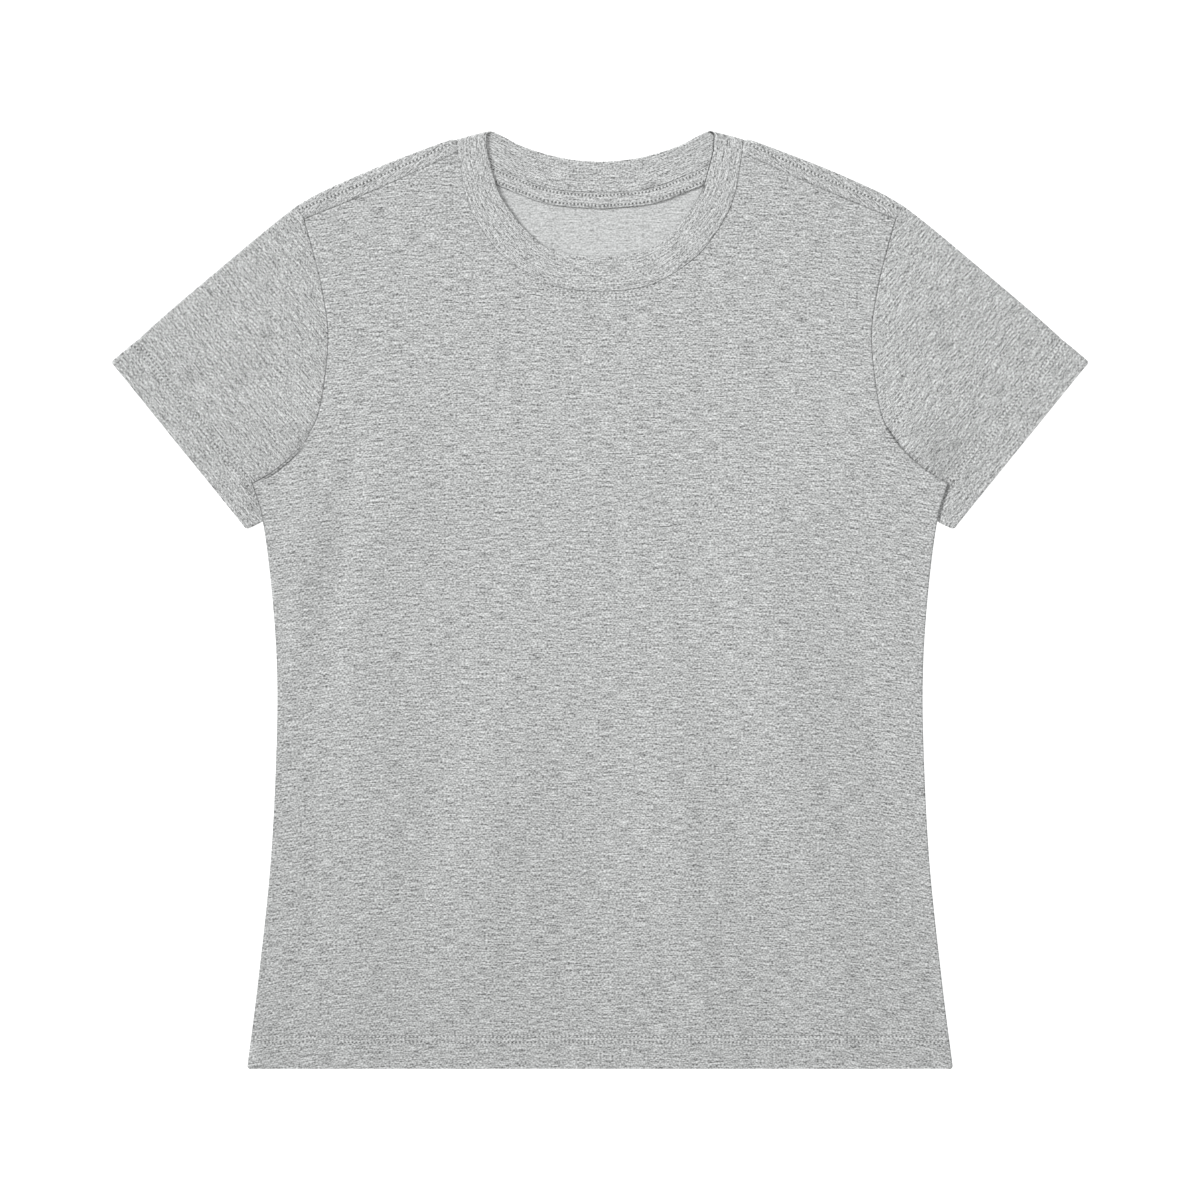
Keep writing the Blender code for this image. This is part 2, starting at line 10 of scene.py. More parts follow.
import bpy
import numpy as np
from mathutils import Vector
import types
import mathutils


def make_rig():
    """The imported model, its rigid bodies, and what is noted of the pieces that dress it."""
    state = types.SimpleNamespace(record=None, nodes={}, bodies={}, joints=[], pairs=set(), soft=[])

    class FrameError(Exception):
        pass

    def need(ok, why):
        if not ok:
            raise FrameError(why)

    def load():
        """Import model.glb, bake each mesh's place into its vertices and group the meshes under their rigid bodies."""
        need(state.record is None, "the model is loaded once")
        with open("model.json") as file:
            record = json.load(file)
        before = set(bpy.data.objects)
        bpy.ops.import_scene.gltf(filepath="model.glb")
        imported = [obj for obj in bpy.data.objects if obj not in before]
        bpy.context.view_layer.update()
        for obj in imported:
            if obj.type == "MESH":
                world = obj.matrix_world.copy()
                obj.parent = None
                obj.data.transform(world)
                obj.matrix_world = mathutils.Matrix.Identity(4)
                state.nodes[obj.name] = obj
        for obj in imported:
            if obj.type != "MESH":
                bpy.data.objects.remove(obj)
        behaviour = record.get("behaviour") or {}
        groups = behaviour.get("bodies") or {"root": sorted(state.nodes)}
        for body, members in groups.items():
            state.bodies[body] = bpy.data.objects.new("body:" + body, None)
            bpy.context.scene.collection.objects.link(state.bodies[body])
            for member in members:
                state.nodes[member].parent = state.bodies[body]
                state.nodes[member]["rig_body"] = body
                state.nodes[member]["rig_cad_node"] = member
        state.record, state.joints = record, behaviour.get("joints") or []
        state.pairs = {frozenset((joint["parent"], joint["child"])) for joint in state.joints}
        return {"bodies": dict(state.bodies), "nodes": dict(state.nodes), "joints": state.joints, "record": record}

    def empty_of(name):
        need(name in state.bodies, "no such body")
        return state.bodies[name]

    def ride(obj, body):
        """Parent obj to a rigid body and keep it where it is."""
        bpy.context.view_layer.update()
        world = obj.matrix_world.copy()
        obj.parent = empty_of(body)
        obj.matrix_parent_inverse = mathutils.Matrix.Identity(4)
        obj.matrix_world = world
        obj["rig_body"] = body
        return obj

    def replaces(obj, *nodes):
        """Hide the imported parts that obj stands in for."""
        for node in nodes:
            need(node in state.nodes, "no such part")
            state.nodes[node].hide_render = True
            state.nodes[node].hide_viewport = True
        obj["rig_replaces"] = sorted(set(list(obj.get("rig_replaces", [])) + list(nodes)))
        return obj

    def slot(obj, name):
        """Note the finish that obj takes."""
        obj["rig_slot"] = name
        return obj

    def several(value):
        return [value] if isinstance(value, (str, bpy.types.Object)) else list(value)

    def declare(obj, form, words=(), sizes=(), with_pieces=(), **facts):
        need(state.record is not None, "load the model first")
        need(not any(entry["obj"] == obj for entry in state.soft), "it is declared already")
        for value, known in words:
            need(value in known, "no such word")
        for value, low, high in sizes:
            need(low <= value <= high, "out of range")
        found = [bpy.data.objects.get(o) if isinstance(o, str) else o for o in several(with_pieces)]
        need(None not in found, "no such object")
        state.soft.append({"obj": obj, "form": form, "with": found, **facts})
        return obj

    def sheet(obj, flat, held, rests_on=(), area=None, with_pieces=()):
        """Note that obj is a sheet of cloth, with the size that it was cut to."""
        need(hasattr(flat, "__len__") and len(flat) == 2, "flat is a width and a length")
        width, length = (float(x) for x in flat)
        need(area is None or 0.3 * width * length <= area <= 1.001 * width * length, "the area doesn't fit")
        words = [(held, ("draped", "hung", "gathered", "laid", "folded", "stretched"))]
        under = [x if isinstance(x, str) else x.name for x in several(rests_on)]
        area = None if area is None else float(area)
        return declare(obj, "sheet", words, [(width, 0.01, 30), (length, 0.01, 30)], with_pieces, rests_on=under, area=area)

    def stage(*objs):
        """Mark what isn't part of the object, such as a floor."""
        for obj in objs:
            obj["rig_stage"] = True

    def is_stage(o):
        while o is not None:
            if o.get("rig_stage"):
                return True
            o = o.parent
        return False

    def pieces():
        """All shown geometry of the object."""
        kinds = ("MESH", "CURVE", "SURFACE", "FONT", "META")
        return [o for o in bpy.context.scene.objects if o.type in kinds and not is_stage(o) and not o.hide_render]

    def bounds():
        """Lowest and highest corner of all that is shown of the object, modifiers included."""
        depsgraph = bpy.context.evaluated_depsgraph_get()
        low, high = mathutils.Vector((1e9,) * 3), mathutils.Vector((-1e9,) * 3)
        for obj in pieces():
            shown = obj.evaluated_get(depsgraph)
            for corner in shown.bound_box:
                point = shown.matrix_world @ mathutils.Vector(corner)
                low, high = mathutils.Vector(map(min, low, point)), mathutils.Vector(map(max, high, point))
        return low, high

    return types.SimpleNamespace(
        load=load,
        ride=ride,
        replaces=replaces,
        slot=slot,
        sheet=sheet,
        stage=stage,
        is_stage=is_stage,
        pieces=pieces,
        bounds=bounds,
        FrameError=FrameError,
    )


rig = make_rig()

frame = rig.load()
cad_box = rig.bounds()
print("packed box, metres:", [round(high - low, 4) for low, high in zip(*cad_box)])

# %% [markdown]
# ## Camera and light
# A garment that is laid out flat is seen from straight above. A long lens, far away, keeps the
# sleeves and the hem from leaning outwards. A pale room gives half of the light, a wide and rather
# low light from far off on the left makes the folds readable, and a weak spot over the chest leaves
# the hem a little darker. The table glows, as the top of a light box does, so that no shadow draws a
# second outline round the shirt.

# %% Camera, lamps, room and table
PICTURE_WIDTH = 0.852            # metres that the square picture covers
LENS, SENSOR = 100.0, 36.0       # millimetres
CLOTH_TOP = 0.0025               # height that the camera is set for
KEY_FROM, KEY_STRENGTH, KEY_SPREAD = Vector((-1.9, 1.0, 1.45)), 2.8, 24.0
SPOT_PLACE, SPOT_AIM = Vector((0.0, 0.5, 2.2)), Vector((0.0, 0.20, 0.0))
SPOT_WATTS, SPOT_CONE, SPOT_BLEND, SPOT_RADIUS = 37.0, 34.0, 1.0, 0.2
WHITE, ROOM_LIGHT = (1.0, 1.0, 1.0, 1.0), 0.43
TABLE_GREY, TABLE_GLOW, TABLE_ROUGHNESS = 0.25, 1.0, 0.7
TABLE_SIZE, TABLE_DROP = 12.0, 0.0002


def new_material(name, constants):
    """A material with its node tree and its shader, on whose own sockets the constants are set."""
    material = bpy.data.materials.new(name)
    material.use_nodes = True
    shader = material.node_tree.nodes["Principled BSDF"]
    for label, value in constants.items():
        shader.inputs[label].default_value = value
    return material, material.node_tree, shader


def put(name, data):
    """A new object in the scene."""
    piece = bpy.data.objects.new(name, data)
    bpy.context.scene.collection.objects.link(piece)
    return piece


def put_light(name, kind, strength, place, aim):
    """A lamp at a place, turned towards a point."""
    lamp = put(name, bpy.data.lights.new(name, kind))
    lamp.data.energy, lamp.location = strength, place
    lamp.rotation_euler = (aim - place).to_track_quat("-Z", "Y").to_euler()
    return lamp.data


camera = put("camera", bpy.data.cameras.new("camera"))
camera.data.lens, camera.data.sensor_width = LENS, SENSOR
camera.location.z = CLOTH_TOP + PICTURE_WIDTH * LENS / SENSOR
bpy.context.scene.camera = camera

key = put_light("key_light", "SUN", KEY_STRENGTH, KEY_FROM, Vector((0.0, 0.0, 0.0)))
key.angle = np.radians(KEY_SPREAD)
spot = put_light("chest_spot", "SPOT", SPOT_WATTS, SPOT_PLACE, SPOT_AIM)
spot.spot_size, spot.spot_blend = np.radians(SPOT_CONE), SPOT_BLEND
spot.shadow_soft_size = SPOT_RADIUS

room = bpy.data.worlds.new("room")
room.use_nodes = True
background = room.node_tree.nodes["Background"].inputs
background["Color"].default_value, background["Strength"].default_value = WHITE, ROOM_LIGHT
bpy.context.scene.world = room
bpy.context.scene.view_settings.view_transform = "Standard"

table_mesh = bpy.data.meshes.new("table")
table_mesh.from_pydata([(x * TABLE_SIZE / 2, y * TABLE_SIZE / 2, -TABLE_DROP)
                        for x, y in ((-1, -1), (1, -1), (1, 1), (-1, 1))], [], [(0, 1, 2, 3)])
table_mesh.materials.append(new_material("white_acrylic", {
    "Base Color": (TABLE_GREY,) * 3 + (1.0,), "Roughness": TABLE_ROUGHNESS,
    "Emission Color": WHITE, "Emission Strength": TABLE_GLOW})[0])
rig.stage(put("table", table_mesh))
print("camera height, metres:", round(camera.location.z, 3))

# %% [markdown]
# ## The pattern
# A t-shirt is symmetric, so half a pattern is enough: each row is a point (out from the middle, up
# from the origin) on one edge, and a smooth curve runs through the points of an edge. The packed
# solids follow the same lines, which is how the cloth comes to lie on them.

# %% Half pattern, metres
WALL = 0.0008                    # thickness of the jersey
SIDE = (                         # from the hem up to the underarm
    (0.2507, -0.3327), (0.2428, -0.2700), (0.2339, -0.1850), (0.2297, -0.1000),
    (0.2297, -0.0430), (0.2339, 0.0140), (0.2396, 0.0570), (0.2471, 0.0829))
ARMHOLE = (                      # from the underarm up to the forward shoulder seam
    (0.2471, 0.0829), (0.2320, 0.0919), (0.2169, 0.1049), (0.2052, 0.1198), (0.1980, 0.1397),
    (0.1930, 0.1858), (0.1973, 0.2206), (0.2037, 0.2473), (0.2102, 0.2703))
SHOULDER_SEAM = (                # on the front, from the armhole to the neck
    (0.2102, 0.2703), (0.1810, 0.2820), (0.1534, 0.2937), (0.1285, 0.3050), (0.1005, 0.3179))
SHOULDER_FOLD = (                # the outline, from the armhole to the neck
    (0.2151, 0.2802), (0.1988, 0.2895), (0.1704, 0.3023), (0.1491, 0.3110), (0.1136, 0.3244),
    (0.1014, 0.3283))
FRONT_NECK_SEAM = (              # from the shoulder seam to the centre front
    (0.1005, 0.3179), (0.0985, 0.3050), (0.0960, 0.2900), (0.0910, 0.2760), (0.0815, 0.2600),
    (0.0675, 0.2433), (0.0430, 0.2270), (0.0220, 0.2208), (0.0, 0.2192))
FRONT_NECK_EDGE = (              # the band's fold, from the shoulder to the centre front
    (0.0800, 0.3185), (0.0752, 0.3000), (0.0710, 0.2880), (0.0610, 0.2725), (0.0500, 0.2600),
    (0.0375, 0.2507), (0.0190, 0.2450), (0.0, 0.2437))
BACK_NECK_SEAM = (               # from the shoulder fold to the centre back
    (0.1012, 0.3252), (0.0781, 0.3097), (0.0554, 0.2995), (0.0327, 0.2919), (0.0, 0.2890))
BACK_NECK_EDGE = (
    (0.0752, 0.3322), (0.0690, 0.3293), (0.0568, 0.3230), (0.0426, 0.3180), (0.0284, 0.3144),
    (0.0142, 0.3122), (0.0, 0.3115))
BAND_FOLD_SEAM = (0.1012, 0.3252)    # centre of the band's turn over the shoulder, at the seam
BAND_FOLD_EDGE = (0.0752, 0.3322)    # and at the neck edge, where the back's half ends
BAND_LIP = (0.0806, 0.3303)      # where the front's half ends: it laps over the back's
CUFF_TOP = (0.3471, 0.1691)
CUFF_BOTTOM = (0.2510, 0.0504)
TUCK_START = 0.1150              # height on the armhole under which the sleeve goes under the body
TUCK_END = ((0.1985, 0.1000), (0.1810, 0.0829))   # the sleeve's hidden end, down to its lower fold
HEM_LINE = SIDE[0][1]
SEAM_GAP = 0.0003
STEP = 0.0034                    # usual spacing of the points on a surface of cloth
SPAN_POINTS = 24                 # points worked out from one point of a line to the next


# %% Curves in plan
def smooth_step(value, low, high):
    """0 below low, 1 above high, eased between: 3t^2 - 2t^3."""
    t = np.clip((value - low) / (high - low), 0.0, 1.0)
    return t * t * (3.0 - 2.0 * t)


def fading(value, low, high):
    """1 below low, 0 above high, eased between."""
    return 1.0 - smooth_step(value, low, high)


def unit(vector):
    """Vectors of length one, along the last axis."""
    vector = np.asarray(vector, float)
    return vector / np.maximum(np.linalg.norm(vector, axis=-1, keepdims=True), 1e-15)


def run_of(line):
    """Length along a line up to each of its points."""
    return np.concatenate([[0.0], np.cumsum(np.linalg.norm(np.diff(line, axis=0), axis=1))])


def rows_between(at, known, rows):
    """Rows interpolated, column by column, as np.interp does it for numbers."""
    return np.column_stack([np.interp(at, known, column) for column in np.transpose(rows)])


def at_run(line, run):
    """Points of a line at the given lengths along it."""
    return rows_between(run, run_of(line), line)


def divided(line, count):
    """A line divided again into that many equal steps."""
    return at_run(line, np.linspace(0.0, run_of(line)[-1], count + 1))


def through(points, step=STEP):
    """A Catmull-Rom curve through the given points, divided into equal steps. Between b and c:
    0.5 (2b + (c - a) t + (2a - 5b + 4c - d) t^2 + (3b - a - 3c + d) t^3)."""
    knots = np.asarray(points, float)
    ends = np.vstack([2 * knots[0] - knots[1], knots, 2 * knots[-1] - knots[-2]])
    a, b, c, d = (ends[k:len(ends) - 3 + k, None] for k in range(4))
    t = np.linspace(0.0, 1.0, SPAN_POINTS, endpoint=False)[None, :, None]
    spans = 0.5 * (2 * b + (c - a) * t + (2 * a - 5 * b + 4 * c - d) * t ** 2
                   + (3 * b - a - 3 * c + d) * t ** 3)
    dense = np.vstack([spans.reshape(-1, 2), knots[-1:]])
    return divided(dense, round(run_of(dense)[-1] / step))


def mirrored(half):
    """A half line that ends on the middle, with its mirror image: from -X to +X."""
    return np.vstack([half * (-1, 1), half[-2::-1]])


def normals_of(line):
    """Unit normals in plan, on the right hand of a line."""
    along = unit(np.gradient(line, axis=0))
    return np.column_stack([along[:, 1], -along[:, 0]])


def moved(line, distance):
    """A line moved to its right by a distance."""
    return line + normals_of(line) * distance


# %% Distances from an edge
EDGE_REACH = 0.006


def nearest_on(line, x, y):
    """Distance to a line, and the length along it at the nearest point: each point is dropped onto
    every segment, and the least distance counts."""
    start, step = line[:-1], np.diff(line, axis=0)
    dx, dy = x[..., None] - start[:, 0], y[..., None] - start[:, 1]
    t = np.clip((dx * step[:, 0] + dy * step[:, 1]) / (step ** 2).sum(1), 0.0, 1.0)
    distance = np.hypot(dx - t * step[:, 0], dy - t * step[:, 1])
    best = distance.argmin(-1)[..., None]
    run = run_of(line)
    along = run[best] + np.take_along_axis(t, best, -1) * np.diff(run)[best]
    return np.take_along_axis(distance, best, -1)[..., 0], along[..., 0]


def inset_from(line, x, y):
    """How far a point lies in from an edge, on the edge's left hand. The edge is first moved
    outwards, so that the value stays smooth across it, and the move is taken off again."""
    return nearest_on(moved(line, EDGE_REACH), x, y)[0] - EDGE_REACH


armhole, shoulder_seam = through(ARMHOLE), through(SHOULDER_SEAM)
front_neck, back_neck = through(FRONT_NECK_SEAM), through(BACK_NECK_SEAM)
print("neck seam, metres round:", round(2 * (run_of(front_neck)[-1] + run_of(back_neck)[-1]), 3))

# %% [markdown]
# ## How the layers lie
# Laid out, the back panel touches the table and the front panel rests on it. The front is a little
# higher over the hem, the neck seam and the tape, and both panels pass over the sleeves, which are
# tucked under the body at the underarm. Cloth that was unfolded and smoothed by hand keeps soft
# folds: long, shallow ridges and troughs, listed here, no two alike.

# %% Heights of the layers, metres
FRONT_MID, BACK_MID = 0.0021, WALL / 2
HEM_RISE, NECK_RISE, TAPE_RISE, TUCK_RISE = 0.0005, 0.0003, 0.0008, 0.0019
HEM_EASE = (0.0190, 0.0230)      # up from the body's hem
CUFF_EASE = (0.0220, 0.0250)     # in from the cuff
NECK_EASE_UP, NECK_EASE_OUT, TAPE_EASE_UP = (0.175, 0.215), (0.125, 0.190), (0.245, 0.300)
TUCK_EASE_IN, TUCK_EASE_DOWN, TUCK_EASE_UP = (0.020, 0.052), (0.017, 0.050), (0.122, 0.180)
FRONT_EASE_IN, FRONT_EASE_DOWN = (0.020, 0.110), (0.017, 0.080)    # the front sinks more slowly
FOLD_EASE_IN = (0.012, 0.040)
# A sleeve's ridges are whole that far beyond the body, at two heights, and that share of the way
# in from a fold. Its troughs are whole sooner.
SLEEVE_EASE_IN, SLEEVE_FOLD_EDGE, TROUGH_EDGE = ((0.090, 0.160), (0.004, 0.022)), 0.22, 0.3
SLEEVE_LIFT_UP, SLEEVE_LIFT_OUT = (0.115, 0.128), (0.0, 0.045)
SLEEVE_PRESS, PRESS_OUT, PRESS_UP = 0.0008, (0.0, 0.005), (0.115, 0.125)   # where it is tucked in
TOP_BULGE = 0.0012               # how far the sleeve's top fold curves out
# Every fold: across, up, half length, half width, rise, and how many degrees it leans.
BODY_RIDGES = (
    (-0.166, -0.107, 0.095, 0.021, 0.0013, -4),
    (-0.077, -0.164, 0.105, 0.028, 0.0017, 8),
    (0.060, -0.190, 0.115, 0.022, 0.0017, -7),
    (0.131, -0.078, 0.140, 0.028, 0.0020, -9),
    (-0.213, 0.018, 0.075, 0.016, 0.0010, 8),
    (-0.162, 0.042, 0.080, 0.020, 0.0009, 9),
    (0.165, -0.290, 0.050, 0.024, 0.0009, -6),
    (-0.178, -0.275, 0.055, 0.026, 0.0009, 5),
    (0.000, 0.110, 0.090, 0.060, 0.0007, 80))
SLEEVE_RIDGES = (
    (-0.262, 0.182, 0.050, 0.016, 0.0012, 82),
    (-0.262, 0.130, 0.046, 0.018, 0.0012, 66),
    (0.240, 0.215, 0.040, 0.018, 0.0011, 52),
    (0.222, 0.111, 0.045, 0.024, 0.0027, 38))
TROUGHS = (
    (-0.188, 0.012, 0.085, 0.011, -0.0011, 10),
    (-0.117, -0.142, 0.080, 0.013, -0.0006, 12),
    (-0.004, -0.208, 0.070, 0.026, -0.0009, 0),
    (0.094, -0.150, 0.050, 0.012, -0.0003, -4),
    (0.194, -0.098, 0.115, 0.011, -0.0008, -12),
    (0.142, -0.231, 0.045, 0.009, -0.0003, -45),
    (-0.210, -0.217, 0.030, 0.010, -0.0003, 80),
    (-0.122, 0.259, 0.045, 0.007, -0.0005, -62),
    (0.028, 0.202, 0.090, 0.010, -0.0002, 90),
    (-0.240, 0.154, 0.060, 0.008, -0.0006, 86),
    (-0.280, 0.184, 0.020, 0.007, -0.0005, -75),
    (-0.218, 0.116, 0.007, 0.0026, -0.0006, -38),
    (0.295, 0.170, 0.035, 0.009, -0.0004, 84),
    (-0.2045, 0.238, 0.042, 0.0045, -0.0004, -13),
    (0.208, 0.248, 0.030, 0.0045, -0.0005, 17))


def folds(x, y, table):
    """Sum of rise * exp(-(aside/half width)^2 - (along/half length)^2) over a table of folds."""
    total = np.zeros_like(x)
    for across, up, half_length, half_width, rise, lean in table:
        lean = np.radians(lean)
        dx, dy = x - across, y - up
        along = dx * np.sin(lean) + dy * np.cos(lean)
        aside = dx * np.cos(lean) - dy * np.sin(lean)
        total += rise * np.exp(-(aside / half_width) ** 2 - (along / half_length) ** 2)
    return total


def body_half_width(y):
    """How far out the body's outline lies at a height."""
    out, up = np.transpose(SIDE + ARMHOLE[1:])
    return np.interp(y, up, out)


def tuck_rise(x, y, ease_in=TUCK_EASE_IN, ease_down=TUCK_EASE_DOWN):
    """Both panels rise where the sleeve is tucked under them, and settle again round it."""
    out = np.abs(x)
    start = (body_half_width(TUCK_START), TUCK_START)
    end_out, end_up = np.transpose((TUCK_END[1], TUCK_END[0], start))
    hidden_end = np.interp(y, end_up, end_out)
    lower_fold = np.interp(out, (TUCK_END[1][0], CUFF_BOTTOM[0]), (TUCK_END[1][1], CUFF_BOTTOM[1]))
    beside = fading(hidden_end - out, *ease_in)
    above = fading(lower_fold - y, *ease_down)
    below = fading(y, *TUCK_EASE_UP)
    return TUCK_RISE * beside * above * below


def front_base(x, y):
    """Mid height of the front before it is sewn: the flat layer, its rises and its ridges."""
    out = np.abs(x)
    hem = HEM_RISE * fading(y - HEM_LINE, *HEM_EASE)
    near_neck = smooth_step(y, *NECK_EASE_UP) * fading(out, *NECK_EASE_OUT)
    neck = near_neck * (NECK_RISE + TAPE_RISE * smooth_step(y, *TAPE_EASE_UP))
    inside = smooth_step(SIDE[0][0] - out, *FOLD_EASE_IN)
    tuck = tuck_rise(x, y, FRONT_EASE_IN, FRONT_EASE_DOWN)
    return FRONT_MID + hem + neck + tuck + inside * folds(x, y, BODY_RIDGES)


# %% [markdown]
# Sewing pulls the cloth down. Where two pieces meet in a seam, both turn down into it, so a seam
# reads as a fine groove, and a row of stitches lies in a shallow trough. Both are part of the height
# of the cloth: a distance from an edge, put through a short curve. The same closeness to a seam is
# also painted into the colour as shade, because little light reaches a seam's bottom.

# %% Closeness to a seam, and rows of stitches
GROOVE_DEPTH, GROOVE_WIDTH = 0.0007, 0.0011
UNDER_DEPTH = 0.0003             # grooves of the underside, which face the table
# How strongly a seam shows, as a groove and as painted shade: up along the front neck, out along the shoulder, and
# elsewhere.
NECK_LINE = ((0.219, 0.226, 0.240, 0.262, 0.285, 0.330), (0.12, 0.20, 0.40, 0.50, 0.22, 0.14))
SHOULDER_LINE = ((0.10, 0.14, 0.21), (0.45, 0.6, 1.0))
ARM_LINE, BACK_LINE, TAPE_LINE = 1.2, 0.35, 0.5
# The neck seam's groove and its painted shade are weaker on the wearer's left, which the lamp's own shadow darkens
# already.
NECK_SIDES = (1.0, 0.4)          # the wearer's right and left side of the neck seam
# Folded edges that lie on other cloth get painted shadow lines: up the body's sides, and up the neck's edge.
SIDE_UP = (0.048, 0.057, 0.075, 0.083, 0.100, 0.115, 0.125)
SIDE_LINES = ((0.5, 1.1, 1.2, 1.35, 1.2, 0.8, 0.0),      # the wearer's right side, which is lit
              (0.0, 0.1, 0.2, 0.64, 0.56, 0.4, 0.0))      # the left side, which lies in shade
ROLL_SHADE = (0.3, 0.8)          # shares of a side's turn between which that line begins
# The neck edge's painted shadow line grows up the neck; EDGE_SIDES gives less to the wearer's right, which the lamp's
# shadow darkens already.
EDGE_LINE = ((0.245, 0.270, 0.300), (0.15, 0.45, 1.1))
EDGE_SIDES, EDGE_SHARP = (0.4, 1.35), 1.6
# Painted shade: a soft dark patch on the left sleeve under the arm, where less light reaches it.
PAINTED_UNDERARM_SHADE = ((0.2425, 0.0930, 0.024, 0.014, 0.16, 38),)
ROW_DEPTH, ROW_WIDTH = 0.00022, 0.0011
HEM_ROWS = (0.0188, 0.0227)      # up from the hem
CUFF_ROWS = (0.0200, 0.0236)     # in from the cuff
NECK_ROWS, ROWS_EASE_OUT = (0.0017, 0.0048), (0.030, 0.050)    # below the front neck seam
TAPE_ROWS = (0.0018, 0.0088)     # below the back neck seam
SHOULDER_ROW = 0.0076            # behind the forward shoulder seam
SEAM_FADE = (0.113, 0.125)       # above this height the armhole seam lies open
# The welt at the right underarm is a groove and a line of painted shade, a welt's width in.
WELT_WIDTH, WELT_LINE, WELT_SHADE = 0.0022, 0.0004, 0.8     # the roll at the right underarm
WELT_FROM, WELT_TO = (0.083, 0.087), (0.104, 0.112)


def closeness(inset, width=GROOVE_WIDTH):
    """1 on an edge, and (1 - inset / width)^2 up to that width from it."""
    return np.clip(1.0 - inset / width, 0.0, 1.0) ** 2


def row_troughs(distance, rows):
    """-depth exp(-(distance / width)^2), summed over the rows of stitches."""
    return sum(-ROW_DEPTH * np.exp(-((distance - row) / ROW_WIDTH) ** 2) for row in rows)


def front_seams(x, y):
    """How close a point of the front is to a seam, from 0 to 1. The armhole counts where it lies
    open, and the underarm on the right has a second line, a welt's width in."""
    out = np.abs(x)
    arm = inset_from(armhole, out, y)
    # A second line, a welt's width in: a groove, and painted shade in the colour.
    welt = WELT_SHADE * np.exp(-((arm - WELT_WIDTH) / WELT_LINE) ** 2) * (x < 0)
    welt = welt * smooth_step(y, *WELT_FROM) * fading(y, *WELT_TO)
    neck = np.interp(y, *NECK_LINE) * np.where(x < 0, *NECK_SIDES)
    return np.max([neck * closeness(inset_from(front_neck, out, y)),
                   np.interp(out, *SHOULDER_LINE) * closeness(inset_from(shoulder_seam, out, y)),
                   ARM_LINE * closeness(arm) * smooth_step(y, *SEAM_FADE), welt], axis=0)


def back_seams(x, y):
    """The same for the back, which has the neck seam and the armhole."""
    out = np.abs(x)
    return np.maximum(closeness(inset_from(back_neck, out, y)),
                      closeness(inset_from(armhole, out, y)) * smooth_step(y, *SEAM_FADE))


def front_height(x, y):
    """Mid height of the sewn front panel."""
    neck = inset_from(front_neck, np.abs(x), y)
    rows = (row_troughs(neck, NECK_ROWS) * fading(np.abs(x), *ROWS_EASE_OUT)
            + row_troughs(y - HEM_LINE, HEM_ROWS))
    return front_base(x, y) + folds(x, y, TROUGHS) - GROOVE_DEPTH * front_seams(x, y) + rows


def back_height(x, y):
    """Mid height of the sewn back panel: its grooves and troughs open downwards."""
    rows = (row_troughs(y - HEM_LINE, HEM_ROWS)
            + row_troughs(inset_from(back_neck, np.abs(x), y), TAPE_ROWS))
    return BACK_MID + tuck_rise(x, y) + UNDER_DEPTH * back_seams(x, y) - rows


# %% [markdown]
# ## A thin shell
# Cloth is two skins and an edge. Each piece is worked out as a grid of points on the middle of its
# cloth. The shell moves that grid half the wall to either side and closes it with a rounded rim, so
# that a cut or folded edge shows its thickness. A Solidify modifier would do nearly the same, but
# here the rim has to stay short, because the next piece starts 0.3 mm away. Each piece has two maps:
# "cloth" measures it as it was cut, so that the knit runs with the cut, and "sewing" measures along
# a sewn edge and in from it, so that rows of stitches follow it.

# %% Grids, normals and open edges
RIM_STEPS, RIM_BULGE = 4, 0.3


def lifted(plan, z):
    """Points of a plan with their heights."""
    return np.concatenate([plan, z[..., None]], axis=-1)


def corners_of(grid):
    """The four corners of every cell of a grid, turning from the columns to the rows."""
    cells = np.stack([grid[:-1, :-1], grid[:-1, 1:], grid[1:, 1:], grid[1:, :-1]], axis=2)
    return cells.reshape((-1, 4) + grid.shape[2:])


def numbers_of(grid, first=0):
    """Vertex numbers for a grid of points, counted on from the first."""
    return first + np.arange(grid.shape[0] * grid.shape[1]).reshape(grid.shape[:2])


def vertex_normals(points, quads):
    """A cell's normal is the cross product of its diagonals; a vertex takes its cells' sum."""
    a, b, c, d = (points[quads[:, k]] for k in range(4))
    cell = unit(np.cross(c - a, d - b))
    normals = np.zeros_like(points)
    for k in range(4):
        np.add.at(normals, quads[:, k], cell)
    return unit(normals)


def open_edges(quads):
    """Edges that no neighbour runs along the opposite way: the places of their starts and of their
    ends in the flat list of corners."""
    start, end = quads.ravel().astype(np.int64), np.roll(quads, -1, axis=1).ravel().astype(np.int64)
    base = int(quads.max()) + 1
    place = np.flatnonzero(~np.isin(start * base + end, end * base + start))
    return place, np.where(place % 4 == 3, place - 3, place + 1)


# %% The shell itself
def into_piece(name, points, faces, maps, materials, face_slots=None, seam=None):
    """A smooth mesh that rides on the root body. A map has one value for each face corner, and
    seam one for each point."""
    mesh = bpy.data.meshes.new(name)
    mesh.from_pydata(points, [], faces)
    for label, values in maps.items():
        mesh.uv_layers.new(name=label).data.foreach_set("uv", np.asarray(values).ravel())
    if seam is not None:
        mesh.attributes.new("seam", "FLOAT", "POINT").data.foreach_set("value", seam)
    for material in materials:
        mesh.materials.append(material)
    if face_slots is not None:
        mesh.polygons.foreach_set("material_index", face_slots)
    mesh.shade_smooth()
    piece = put(name, mesh)
    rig.ride(piece, "root")
    return piece


